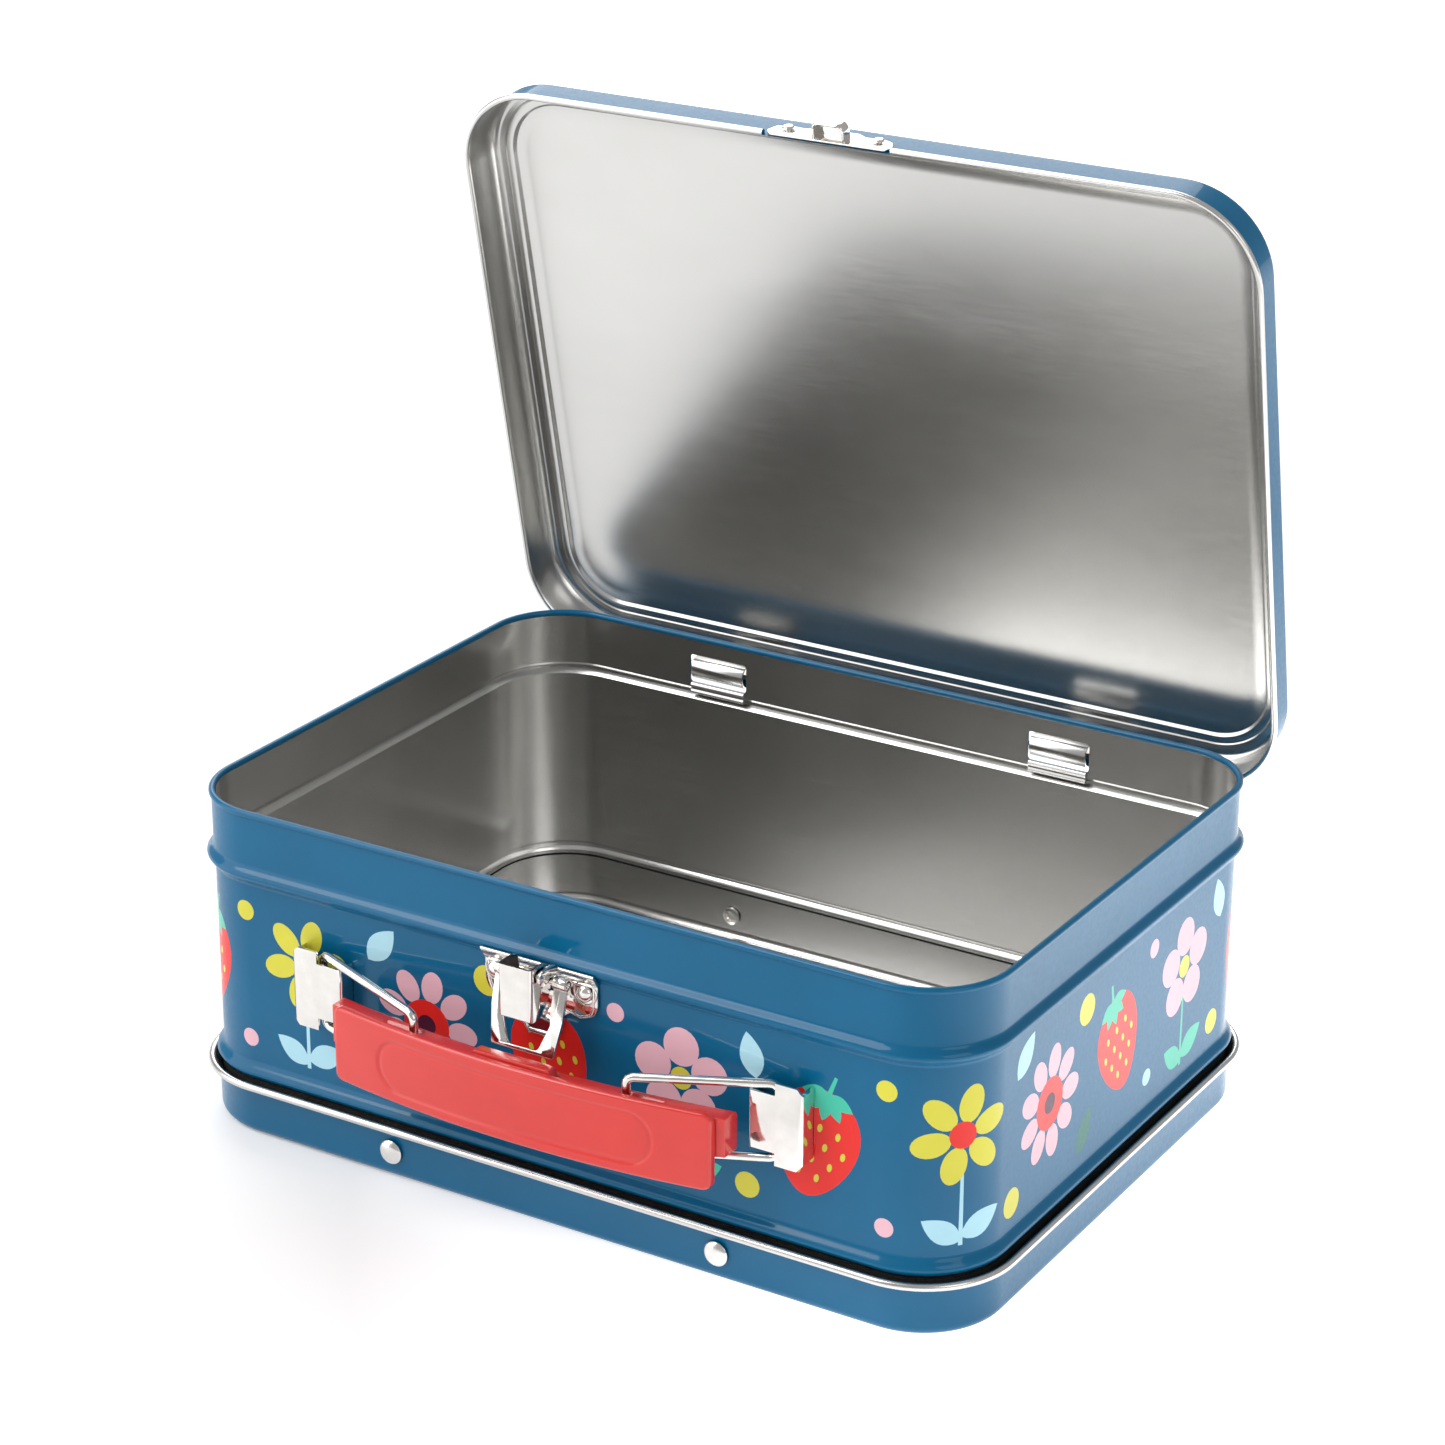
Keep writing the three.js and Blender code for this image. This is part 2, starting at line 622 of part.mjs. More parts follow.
lunchBox.add(mesh('latch_plate', latchPlate(), finishes.nickel));
lunchBox.add(mesh('latch_pin', pin(LEVER_PIN), finishes.nickel));
lunchBox.add(mesh('latch_lever', latchLever(), finishes.nickel));
lunchBox.add(mesh('loop_pin', pin(LOOP_PIN), finishes.nickel));
lunchBox.add(mesh('latch_loop', latchLoop(), finishes.nickel));
for (const [name, side] of SIDES) {
  const grip = PLATE.thickness + SHEET + 3 * GAP;
  const body = rivet(LATCH_RIVET, LATCH_X + side * LATCH_RIVET.x, PLATE_Y - PLATE.thickness - GAP, grip, -1);
  lunchBox.add(mesh(`latch_rivet_${name}`, body, finishes.nickel));
}

for (const [name, side] of SIDES) {
  lunchBox.add(mesh(`handle_bracket_${name}`, handleBracket(side), finishes.nickel));
  lunchBox.add(mesh(`handle_link_${name}`, handleLink(side), finishes.nickel));
}
lunchBox.add(mesh('handle_grip', handleGrip(), finishes.red));
lunchBox.add(mesh('handle_grip_back', handleGripBack(), finishes.red));

const hinge = new THREE.Group();
hinge.position.set(0, LID_AXIS.y, LID_AXIS.z);
hinge.rotation.x = -LID_OPEN;
const lid = new THREE.Group();
lid.position.set(0, -LID_AXIS.y, -LID_AXIS.z);
lid.add(mesh('lid_pan', lidPan(), finishes.blue));
lid.add(mesh('catch_plate', catchPlate(), finishes.nickel));
for (const [name, side] of SIDES) {
  lid.add(mesh(`hinge_tongue_${name}`, hingeTongue(side), finishes.tinplate));
  lid.add(mesh(`catch_rivet_${name}`, catchRivet(side), finishes.nickel));
}
hinge.add(lid);
lunchBox.add(hinge);

export default lunchBox;
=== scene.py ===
import math

import bmesh
import bpy
from mathutils import Matrix, Vector
from mathutils.geometry import delaunay_2d_cdt


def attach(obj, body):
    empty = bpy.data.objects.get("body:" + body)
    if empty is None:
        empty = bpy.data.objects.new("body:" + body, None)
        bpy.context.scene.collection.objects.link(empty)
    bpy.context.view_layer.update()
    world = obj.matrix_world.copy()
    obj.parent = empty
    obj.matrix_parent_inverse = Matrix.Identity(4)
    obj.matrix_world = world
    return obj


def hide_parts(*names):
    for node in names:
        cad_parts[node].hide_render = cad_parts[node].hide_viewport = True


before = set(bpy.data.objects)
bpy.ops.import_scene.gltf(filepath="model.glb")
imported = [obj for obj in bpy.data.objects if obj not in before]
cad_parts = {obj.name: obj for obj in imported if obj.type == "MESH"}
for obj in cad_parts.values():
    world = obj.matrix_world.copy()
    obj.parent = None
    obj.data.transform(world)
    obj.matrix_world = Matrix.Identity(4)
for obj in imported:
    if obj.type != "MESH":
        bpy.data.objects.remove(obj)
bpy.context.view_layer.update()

# Lunch box of lacquered tinplate. Sizes are in millimetres and become metres in the meshes.
# An "offset" is a distance outwards from the rounded rectangle of the top rim. Outlines list their
# corners, each with a corner radius of its own where it has a third value.

MM = 0.001
WIDTH, DEPTH, CORNER = 200, 146, 19.4
FRONT = -DEPTH / 2
SHEET = 0.35
GAP = 0.3                        # between neighbouring pieces
CORNER_STEPS = 18

# Case. Walls are offsets of their outer face; a ridge is z of its foot, peak and top, then the peak's
# offset; a rim is the offset and z of its centre, then its radius.
WALL, SKIRT, FOOT_SKIRT = -0.9, -0.6, -0.45
BAND_LOW = 2.6
LOWER_RIDGE = (13.2, 15.7, 18.4, 0.7)
UPPER_RIDGE = (61.8, 64.6, 67.0, 0.9)
RIM = (-0.8, 79.2, 0.8)

PAN_WALL, PAN_FILLET, PAN_FLARE = 0.2, 2.5, 11.2
PAN_RIM = (1.9, 12.9, 0.9)

LID_WALL, LID_FILLET, LID_TOP = 0.85, 2.5, 81.5
LID_RIM = (1.3, 71.25, 0.75)
LID_FLANGE, LID_STEP, LID_RISE = -4.6, 0.7, 0.8
LID_NOTCH = (69.2, 72.45)        # z of the notch for the catch plate
LID_AXIS = (74, 71)              # y, z
LID_OPEN = 78                    # degrees

HINGE_X = 46.7
WINDOW_HALF, WINDOW_LOW, WINDOW_HIGH = 8, 67.5, 74.7
FLAP_HALF = 7.5
FLAP_FOLDS = [                   # section of the folded edge below a hinge window: y, z
    (72.2, 64.5), (71.6, 64.7), (71.3, 65.2), (71.6, 65.8), (71.6, 66.3), (71.3, 66.8), (71.6, 67.4),
    (72.2, 67.5),
]
TONGUE_HALF, TONGUE_OUTER, TONGUE_INNER, TONGUE_STRAP = 7.3, 2.95, 2.45, 0.5
TONGUE_FROM, TONGUE_TO = 150, 405

# Rivets: x from the middle of what they hold, and z. Then head radius, head height, shank radius, the
# length between head and tail, tail radius, tail height.
BASE_RIVET, BASE_RIVET_SIZE = (42.3, 6.7), (3, 1.3, 1.4, 1.6, 2.3, 0.7)
LATCH_RIVET, LATCH_RIVET_SIZE = (11.3, 59.1), (2, 1.4, 1, 1.75, 1.8, 0.7)
CATCH_RIVET, CATCH_RIVET_SIZE = (11.5, 74.2), (1.5, 0.6, 0.8, 1.65, 1.4, 0.4)

# Latch and catch, about LATCH_X. Pins and ears are y, z.
LATCH_X = -1.9
PLATE_Y = FRONT - WALL - GAP
PLATE_SHEET = 0.5
PLATE_HALF, PLATE_BEND = 14.3, 61.4
PLATE_EDGE = [                   # right half of its lower edge: x, z, corner radius
    (3.6, 46.2, 3), (5.2, 48.6, 1.5), (5.8, 52.3, 1.4), (8, 53.8, 1.2), (10.7, 52.9, 2), (13.5, 54.1, 2),
    (PLATE_HALF, 56.3, 1.2),
]
BEAD_MIDDLE, BEAD_WIDTH, BEAD_HEIGHT = 54.6, 0.93, 0.9   # the bead is this edge, drawn smaller about a z
EAR_INNER, EAR_OUTER, EAR_RADIUS = 4.6, 5.4, 1.8
EAR_ROOT, EAR_HEEL = [(-73.3, 62.2), (-73.9, 63.6), (-75.4, 65.2)], (-75, 62.7)
LEVER_PIN, LOOP_PIN = (-79.5, 63.6), (-76, 61.5)
LEVER_PIN_RADIUS, LEVER_PIN_HALF = 0.8, 5.5
LOOP_PIN_RADIUS, LOOP_PIN_HALF = 0.65, 9.2
LEVER_HALF, LEVER_FRONT, LEVER_REAR, LEVER_LOW, LEVER_HIGH, LEVER_SHEET = 4.2, -83, -75.4, 54, 66.3, 0.5
LEVER_SIDE = [                   # its outline seen from the side: y, z, corner radius
    (-83.2, 54.6, 0.8), (-82.4, 53.9, 0.6), (-79.6, 53.9, 1.2), (-75.6, 58.6, 1), (-75.5, 62.6, 1),
    (-76, 65.4, 1.5), (-78.2, 66.4, 0.5), (-83.2, 66.4, 0.1),
]
LOOP_INNER, LOOP_OUTER, LOOP_REACH, LOOP_SHEET, LOOP_LEAN = 5.8, 9.0, 16.5, 0.8, 15
KNUCKLE_RADIUS, KNUCKLE_BORE = 1.5, 0.95
CATCH_HALF, CATCH_SHEET = 16, 0.4
CATCH_EDGE = [                   # right half of its outline, from the bottom up: x, z, corner radius
    (14.5, 70.7, 0.8), (CATCH_HALF, 72.3, 1), (14.8, 74.8, 1), (12, 75.8, 1.5), (7.7, 75.4, 1.2),
    (5.5, 76.6, 0.8),
]
NUB_HALF, NUB_OUT, NUB_CORNER = 4.3, 4.2, 2.2
NUB_STATIONS = (                 # inset from its full outline, z
    (0.75, 74), (0.7, 72.2), (0.6, 71.75), (0.4, 71.6), (0.15, 71.7), (0, 72), (0, 74.4), (0.2, 74.9),
    (0.6, 75.2),
)

# Carrying handle, drawn on the right.
BRACKET_X, BRACKET_Z, BRACKET_FRONT, BRACKET_SHEET = (52, 65), (34, 53), -77.1, 0.6
BRACKET_CUT_X, BRACKET_CUT_Z = 1.4, 1.6
NOTCH_REACH, NOTCH_DEPTH = 58.4, 2.9
TAB_Z, TAB_FOLD = (38.5, 48.5), 3.2
LINK_ROUTE = [(27, -84.6, 42.6), (27, -84.6, 49.3), (58, -74.9, 51.9), (58, -74.9, 34.7), (27, -84.6, 32.6),
              (27, -84.6, 38.4)]
LINK_RADIUS, LINK_BEND = 1.0, 2.0
GRIP_HALF, GRIP_LOW, GRIP_HIGH, GRIP_FRONT, GRIP_BOW, GRIP_THICK = 48, 28.5, 46.3, -89.6, 4.3, 1.7
GRIP_EDGE, GRIP_CORNER = 0.75, 2.2
PANEL_HALF, PANEL_RADIUS, PANEL_Z = 34.7, 5.9, 37.2
GROOVE_HALF, GROOVE_DEPTH, PANEL_DEPTH, PANEL_SLOPE = 0.7, 0.3, 0.16, 0.6
CORE_HALF, CORE_LOW, CORE_HIGH, CORE_NEAR, CORE_FAR = 50, 36, 45, 2.0, 7
RIB_HALF, RIB_LOW = 22.4, 30
POCKET_X, POCKET_Y = (25.4, 35.6), (-87.3, -82.9)
HUMP_HALF, HUMP_TOP_HALF, HUMP_LOW, HUMP_HIGH, HUMP_Y = 10.5, 9.6, 44.5, 47, (-87.5, -84.9)

ENDS = (("left", -1), ("right", 1))


# ---- meshes ---------------------------------------------------------

def arc(a, b, radius, start, end, steps):
    """Points of an arc; the angles are in degrees."""
    angles = [math.radians(start + (end - start) * i / steps) for i in range(steps + 1)]
    return [(a + radius * math.cos(t), b + radius * math.sin(t)) for t in angles]


def rounded(points, radius, steps=5):
    """A closed outline with its corners rounded."""
    out = []
    count = len(points)
    for i, point in enumerate(points):
        here = Vector(point[:2])
        before, after = Vector(points[i - 1][:2]), Vector(points[(i + 1) % count][:2])
        into, away = (before - here), (after - here)
        reach = point[2] if len(point) > 2 else radius
        angle = into.angle(away) / 2
        cut = min(reach / max(math.tan(angle), 0.05), into.length * 0.48, away.length * 0.48)
        a, b = here + into.normalized() * cut, here + away.normalized() * cut
        for k in range(steps + 1):
            t = k / steps
            out.append(tuple(a * (1 - t) ** 2 + here * (2 * t * (1 - t)) + b * t ** 2))
    return out


def added(name, data):
    """A new object with this data, in the scene."""
    obj = bpy.data.objects.new(name, data)
    bpy.context.scene.collection.objects.link(obj)
    return obj


def baked(obj):
    """The mesh that obj's modifiers or curve settings make."""
    return bpy.data.meshes.new_from_object(obj.evaluated_get(bpy.context.evaluated_depsgraph_get()))


def smooth(mesh, sharp=35):
    """Smooth shading, except across edges of more than this many degrees."""
    mesh.shade_smooth()
    mesh.set_sharp_from_angle(angle=math.radians(sharp))


def finish_mesh(name, mesh, materials, sharp=35):
    obj = added(name, mesh)
    for material in materials:
        mesh.materials.append(material)
    smooth(mesh, sharp)
    return obj


def from_bmesh(name, bm, materials, sharp=35):
    bmesh.ops.recalc_face_normals(bm, faces=bm.faces)
    mesh = bpy.data.meshes.new(name)
    bm.to_mesh(mesh)
    bm.free()
    return finish_mesh(name, mesh, materials, sharp)


def columns():
    """Corner centre and outward direction of each upright line, anticlockwise from the front right."""
    out = []
    for side_x, side_y, start in ((1, -1, -90), (1, 1, 0), (-1, 1, 90), (-1, -1, 180)):
        centre = (side_x * (WIDTH / 2 - CORNER), side_y * (DEPTH / 2 - CORNER))
        for i in range(CORNER_STEPS + 1):
            t = math.radians(start + 90 * i / CORNER_STEPS)
            out.append((*centre, math.cos(t), math.sin(t)))
    return out


def rounded_shell(name, profile, materials, closed):
    """A profile of (offset, z, material) carried round the rounded rectangle."""
    bm = bmesh.new()
    lines = columns()
    rings = [
        [bm.verts.new(((cx + (CORNER + d) * ux) * MM, (cy + (CORNER + d) * uy) * MM, z * MM))
         for cx, cy, ux, uy in lines]
        for d, z, _ in profile
    ]
    for i in range(len(rings) if closed else len(rings) - 1):
        low, high = rings[i], rings[(i + 1) % len(rings)]
        for j in range(len(lines)):
            k = (j + 1) % len(lines)
            bm.faces.new((low[j], low[k], high[k], high[j])).material_index = profile[i][2]
    if not closed:
        bm.faces.new(rings[0]).material_index = profile[0][2]
        bm.faces.new(rings[-1]).material_index = profile[-1][2]
    return from_bmesh(name, bm, materials)


def ridge(shape, before, after, steps=7):
    """Profile of a ridge between the offsets of the wall below it and above it."""
    low, peak, high, offset = shape
    points = []
    for z0, z1, d0, d1 in ((low, peak, before, offset), (peak, high, offset, after)):
        for i in range(steps):
            t = i / steps
            points.append((d0 + (d1 - d0) * (0.5 - 0.5 * math.cos(math.pi * t)), z0 + (z1 - z0) * t))
    return points + [(after, high)]


def boolean(obj, operation, *tools):
    """obj cut by, or kept inside, the tool objects, which are then removed."""
    for tool in tools:
        modifier = obj.modifiers.new("cut", "BOOLEAN")
        modifier.operation = operation
        modifier.solver = "EXACT"
        modifier.object = tool
    mesh = baked(obj)
    obj.modifiers.clear()
    obj.data = mesh
    for tool in tools:
        bpy.data.objects.remove(tool)
    return obj


def bevel(obj, width, segments=2, angle=30):
    """obj with the edges of more than this many degrees rounded off."""
    modifier = obj.modifiers.new("bevel", "BEVEL")
    modifier.width = width * MM
    modifier.segments = segments
    modifier.limit_method = "ANGLE"
    modifier.angle_limit = math.radians(angle)
    modifier.harden_normals = False
    mesh = baked(obj)
    obj.modifiers.clear()
    obj.data = mesh
    smooth(mesh, 40)
    return obj


def prism(name, outline, span, axis, materials, sharp=35):
    """A closed outline carried along an axis. The outline is (y, z) for X, (x, z) for Y, (x, y) for Z."""
    place = {
        "X": lambda a, b, c: (c, a, b),
        "Y": lambda a, b, c: (a, c, b),
        "Z": lambda a, b, c: (a, b, c),
    }[axis]
    bm = bmesh.new()
    ends = [[bm.verts.new([v * MM for v in place(a, b, c)]) for a, b in outline] for c in span]
    count = len(outline)
    for i in range(count):
        k = (i + 1) % count
        bm.faces.new((ends[0][i], ends[0][k], ends[1][k], ends[1][i]))
    bm.faces.new(ends[0])
    bm.faces.new(ends[1])
    return from_bmesh(name, bm, materials, sharp)


def about(centre, half):
    """A span about a centre, from its half width."""
    return (centre - half, centre + half)


def block(name, x, y, z):
    return prism(name, [(x[0], y[0]), (x[1], y[0]), (x[1], y[1]), (x[0], y[1])], z, "Z", [])


def curve_mesh(name, curve, lines, closed):
    """The mesh of a curve that runs through these lines of points, which are in metres."""
    for line in lines:
        spline = curve.splines.new("POLY")
        spline.points.add(len(line) - 1)
        for point, place in zip(spline.points, line):
            point.co = (*place, 1)
        spline.use_cyclic_u = closed
    obj = added(name, curve)
    mesh = baked(obj)
    bpy.data.objects.remove(obj)
    return mesh


def plate(name, outline, holes, y, rim, materials):
    """A flat sheet in an upright plane with soft edges, cut from an (x, z) outline with round-edged holes."""
    curve = bpy.data.curves.new(name, "CURVE")
    curve.dimensions = "2D"
    curve.fill_mode = "BOTH"
    thickness = y[1] - y[0]
    curve.extrude = (thickness / 2 - rim) * MM
    curve.bevel_depth = rim * MM
    curve.bevel_resolution = 2
    curve.offset = -rim * MM
    lines = [[(a * MM, b * MM, 0) for a, b in loop] for loop in (outline, *holes)]
    mesh = curve_mesh(name, curve, lines, True)
    mesh.transform(Matrix.Rotation(math.pi / 2, 4, "X"))
    mesh.transform(Matrix.Translation((0, (y[0] + y[1]) / 2 * MM, 0)))
    bm = bmesh.new()
    bm.from_mesh(mesh)
    bmesh.ops.remove_doubles(bm, verts=bm.verts, dist=1e-6)
    bm.to_mesh(mesh)
    bm.free()
    return finish_mesh(name, mesh, materials, 40)


def disc(x, z, radius, steps=24):
    """The closed outline of a circle."""
    return arc(x, z, radius, 0, 360 * (steps - 1) / steps, steps - 1)


def tube(name, points, radius, materials, bend=2.0, closed=False, sides=4):
    """A round wire through the points, with rounded corners and softened ends."""
    path = [Vector(p) for p in points]
    route = []
    count = len(path)
    for i, here in enumerate(path):
        if not closed and i in (0, count - 1):
            route.append(here)
            continue
        before, after = path[i - 1], path[(i + 1) % count]
        reach = min(bend, (before - here).length * 0.49, (after - here).length * 0.49)
        a = here + (before - here).normalized() * reach
        b = here + (after - here).normalized() * reach
        route += [a * (1 - t) ** 2 + here * (2 * t * (1 - t)) + b * t ** 2 for t in (k / 8 for k in range(9))]
    curve = bpy.data.curves.new(name, "CURVE")
    curve.dimensions = "3D"
    curve.bevel_depth = radius * MM
    curve.bevel_resolution = sides
    curve.use_fill_caps = True
    return finish_mesh(name, curve_mesh(name, curve, [[co * MM for co in route]], closed), materials, 50)


def turned(name, profile, centre, side, materials, steps=32):
    """A profile of (radius, height) turned about Y. Height points forwards for side -1."""
    bm = bmesh.new()
    rings = []
    for radius, height in profile:
        y = centre[1] + side * height
        if radius < 1e-6:
            rings.append([bm.verts.new((centre[0] * MM, y * MM, centre[2] * MM))])
            continue
        rings.append([
            bm.verts.new(((centre[0] + a) * MM, y * MM, (centre[2] + b) * MM))
            for a, b in disc(0, 0, radius, steps)
        ])
    for low, high in zip(rings, rings[1:]):
        for j in range(steps):
            k = (j + 1) % steps
            corners = [low[j % len(low)], low[k % len(low)], high[k % len(high)], high[j % len(high)]]
            unique = list(dict.fromkeys(corners))
            if len(unique) > 2:
                bm.faces.new(unique)
    return from_bmesh(name, bm, materials, 50)


def joined(name, parts):
    """Several objects as one, keeping their materials."""
    target = parts[0]
    with bpy.context.temp_override(active_object=target, selected_editable_objects=parts):
        bpy.ops.object.join()
    target.name = name
    target.data.name = name
    return target


def turn(obj, angle, y, z):
    """obj turned about a line along X; a positive angle lifts what lies in front of the line."""
    centre = Matrix.Translation((0, y * MM, z * MM))
    obj.data.transform(centre @ Matrix.Rotation(-math.radians(angle), 4, "X") @ centre.inverted())
    return obj


def show(obj, body, slot, *nodes):
    """Tie a finished piece to its body and hide the CAD nodes it replaces. The slot is not used."""
    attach(obj, body)
    if nodes:
        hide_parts(*nodes)
    return obj


# ---- materials ------------------------------------------------------

def srgb(r, g, b):
    """A colour of 0 to 255 per channel, as the shaders take it."""
    def linear(c):
        c /= 255
        return c / 12.92 if c <= 0.04045 else ((c + 0.055) / 1.055) ** 2.4
    return (linear(r), linear(g), linear(b), 1)


class Nodes:
    """A small helper that adds nodes and links to a new material."""

    def __init__(self, name):
        self.material = bpy.data.materials.new(name)
        self.material.use_nodes = True
        self.tree = self.material.node_tree
        self.shader = self.tree.nodes["Principled BSDF"]

    def add(self, kind, **values):
        node = self.tree.nodes.new(kind)
        for key, value in values.items():
            if hasattr(node, key):
                setattr(node, key, value)
            else:
                node.inputs[key.replace("_", " ")].default_value = value
        return node

    def link(self, source, target):
        self.tree.links.new(source, target)

    def place(self, scale):
        """Object coordinates stretched by a scale along each axis."""
        coordinates = self.add("ShaderNodeTexCoord")
        mapping = self.add("ShaderNodeMapping", Scale=scale)
        self.link(coordinates.outputs["Object"], mapping.inputs["Vector"])
        return mapping.outputs["Vector"]

    def noise(self, size, detail, roughness=0.6, scale=(1, 1, 1)):
        noise = self.add("ShaderNodeTexNoise", Scale=size, Detail=detail, Roughness=roughness)
        self.link(self.place(scale), noise.inputs["Vector"])
        return noise.outputs["Fac"]

    def pool(self, centre, radius):
        """1 at a point of the floor, falling to 0 at a radius in metres."""
        coordinates = self.add("ShaderNodeTexCoord")
        place = tuple(-c / radius for c in (*centre, 0))
        mapping = self.add("ShaderNodeMapping", Location=place, Scale=(1 / radius, 1 / radius, 1 / radius))
        gradient = self.add("ShaderNodeTexGradient", gradient_type="SPHERICAL")
        self.link(coordinates.outputs["Object"], mapping.inputs["Vector"])
        self.link(mapping.outputs["Vector"], gradient.inputs["Vector"])
        return gradient.outputs["Fac"]

    def spread(self, value, low, high, floor=0.3, ceiling=0.7):
        """A value from the middle of a noise spread over low to high."""
        node = self.add("ShaderNodeMapRange")
        for key, number in (("From Min", floor), ("From Max", ceiling), ("To Min", low), ("To Max", high)):
            node.inputs[key].default_value = number
        self.link(value, node.inputs["Value"])
        return node.outputs["Result"]

    def tint(self, value, dark, light):
        """A value from the middle of a noise as a colour between dark and light."""
        ramp = self.add("ShaderNodeValToRGB")
        ramp.color_ramp.elements[0].position, ramp.color_ramp.elements[1].position = 0.3, 0.7
        ramp.color_ramp.elements[0].color, ramp.color_ramp.elements[1].color = dark, light
        self.link(value, ramp.inputs["Fac"])
        return ramp.outputs["Color"]

    def bump(self, value, strength, distance):
        bump = self.add("ShaderNodeBump", Strength=strength, Distance=distance)
        self.link(value, bump.inputs["Height"])
        self.link(bump.outputs["Normal"], self.shader.inputs["Normal"])

    def surface(self, cloud, dark, light, grain, rough, dents, strength, distance):
        """Colour, roughness and relief, each from a noise of its own, given as (size, detail)."""
        self.link(self.tint(self.noise(*cloud), dark, light), self.shader.inputs["Base Color"])
        self.link(self.spread(self.noise(*grain), *rough), self.shader.inputs["Roughness"])
        self.bump(self.noise(*dents), strength, distance)

    def set(self, **values):
        for key, value in values.items():
            self.shader.inputs[key.replace("_", " ")].default_value = value

    def total(self, first, second):
        node = self.add("ShaderNodeMath", operation="ADD")
        self.link(first, node.inputs[0])
        self.link(second, node.inputs[1])
        return node.outputs["Value"]


def shade(color, factor):
    """The colour made darker or lighter."""
    return (*[c * factor for c in color[:3]], 1)


def lacquer(name, color):
    """Printed and varnished tinplate: a thin clear coat over a satin colour."""
    n = Nodes(name)
    n.set(Specular_IOR_Level=0.08, Coat_Weight=0.5, Coat_Roughness=0.07, Coat_IOR=1.46)
    dark, light = shade(color, 0.94), shade(color, 1.05)
    n.surface((45, 4), dark, light, (900, 5), (0.34, 0.5), (700, 2), 0.05, 0.0002)
    return n.material


def tinplate(name):
    """Bright rolled tinplate with the mill's fine lines along X."""
    n = Nodes(name)
    n.set(Metallic=1.0, Anisotropic=0.3)
    lines = n.noise(1500, 2, 0.5, (0.08, 1, 1))
    cloud = n.noise(26, 4, scale=(0.5, 1, 1))
    n.link(n.tint(cloud, (0.60, 0.595, 0.58, 1), (0.65, 0.645, 0.63, 1)), n.shader.inputs["Base Color"])
    rough = n.total(n.spread(lines, 0.19, 0.215), n.spread(cloud, 0.02, 0.05))
    n.link(rough, n.shader.inputs["Roughness"])
    n.bump(lines, 0.012, 0.00003)
    return n.material


def nickel(name, low, high, dark=(0.74, 0.715, 0.68, 1), light=(0.82, 0.8, 0.775, 1)):
    """Plated steel whose roughness wanders between low and high."""
    n = Nodes(name)
    n.set(Metallic=1.0)
    n.surface((260, 4), dark, light, (1500, 5), (low, high), (1200, 3), 0.03, 0.00003)
    return n.material


def gap_shade(name):
    """Painted shade: near-black paint that stands in for the shadow in the gap between the wall and the base
    pan.
    """
    n = Nodes(name)
    n.set(Roughness=0.6, Specular_IOR_Level=0.2)
    dark, light = (0.006, 0.007, 0.008, 1), (0.014, 0.015, 0.016, 1)
    n.surface((300, 3), dark, light, (900, 3), (0.5, 0.75), (700, 3), 0.2, 0.0001)
    return n.material


def plastic(name, color):
    """A moulded plastic with a soft gloss."""
    n = Nodes(name)
    n.set(IOR=1.5, Coat_Weight=0.3, Coat_Roughness=0.1)
    dark, light = shade(color, 0.95), shade(color, 1.04)
    n.surface((60, 4), dark, light, (500, 3), (0.2, 0.27), (500, 2), 0.03, 0.00002)
    return n.material


BLUE = lacquer("lacquer_blue", srgb(0, 91, 130))
TIN = tinplate("tinplate")
NICKEL = nickel("nickel", 0.04, 0.11)
RIVET = nickel("rivet_metal", 0.16, 0.28)
# Painted shade: a dark steel for the shadowed inside of the latch lever.
PAINTED_SHADE_STEEL = nickel("painted_shade_steel", 0.35, 0.5, (0.06, 0.05, 0.045, 1), (0.1, 0.085, 0.075, 1))
RED_PLASTIC = plastic("grip_red", srgb(208, 48, 42))

INKS = {
    "yellow": lacquer("ink_yellow", srgb(208, 202, 66)),
    "pink": lacquer("ink_pink", srgb(222, 176, 188)),
    "sky": lacquer("ink_sky", srgb(168, 212, 226)),
    "mint": lacquer("ink_mint", srgb(64, 186, 158)),
    "green": lacquer("ink_green", srgb(12, 104, 92)),
    "red": lacquer("ink_red", srgb(222, 40, 34)),
    "maroon": lacquer("ink_maroon", srgb(74, 22, 50)),
}
# Painted shade: near-black paint for the shadowed gap between the wall and the base pan's rim.
PAINTED_GAP_SHADE = gap_shade("painted_gap_shade")

# Material indices of the wall: blue, tin, the inks in this order, then the painted gap shade.
INK_ORDER = list(INKS)
FIRST_INK = 2
PAINTED_GAP_SHADE_INDEX = FIRST_INK + len(INKS)


# ---- printed pattern on the wall ------------------------------------
# Motifs are closed outlines in the unrolled wall: (distance from the front's middle, height).

LONG_SIDE, SHORT_SIDE = WIDTH - 2 * CORNER, DEPTH - 2 * CORNER
SIDES = ((LONG_SIDE, -90), (SHORT_SIDE, 0), (LONG_SIDE, 90), (SHORT_SIDE, 180))   # length, where it faces
ARC_LENGTH = (CORNER + WALL) * math.pi / 2
GIRTH = 2 * (WIDTH + DEPTH - 4 * CORNER) + 4 * ARC_LENGTH
WALL_START = -(WIDTH / 2 - CORNER)
WALL_LOW, WALL_HIGH = LOWER_RIDGE[2], UPPER_RIDGE[0]

REPEATS, MOTIFS = 4, 5           # repeats round the wall, large motifs in each
BERRY_STEPS = 36
BERRY_TAPER = 0.24               # how much wider a berry is above than below
SEED_ROWS = (3, 4, 3, 2)         # seeds in a berry's rows, from the top down
SEED_SIZE = (0.6, 1.0)
SEED_PITCH, ROW_PITCH = 0.46, 0.3   # parts of the berry's half width and of its height
CALYX_ANGLES = (-168, -129, -90, -51, -12)

CDT_INSIDE, CDT_MERGE = 1, 1e-7
CDT_UNIT = 100                   # the wall is triangulated in units of 100 mm


def local(x, z, angle):
    """A function that turns a point by an angle in degrees and then moves it by (x, z)."""
    t = math.radians(angle)
    return lambda a, b: (x + a * math.cos(t) - b * math.sin(t), z + a * math.sin(t) + b * math.cos(t))


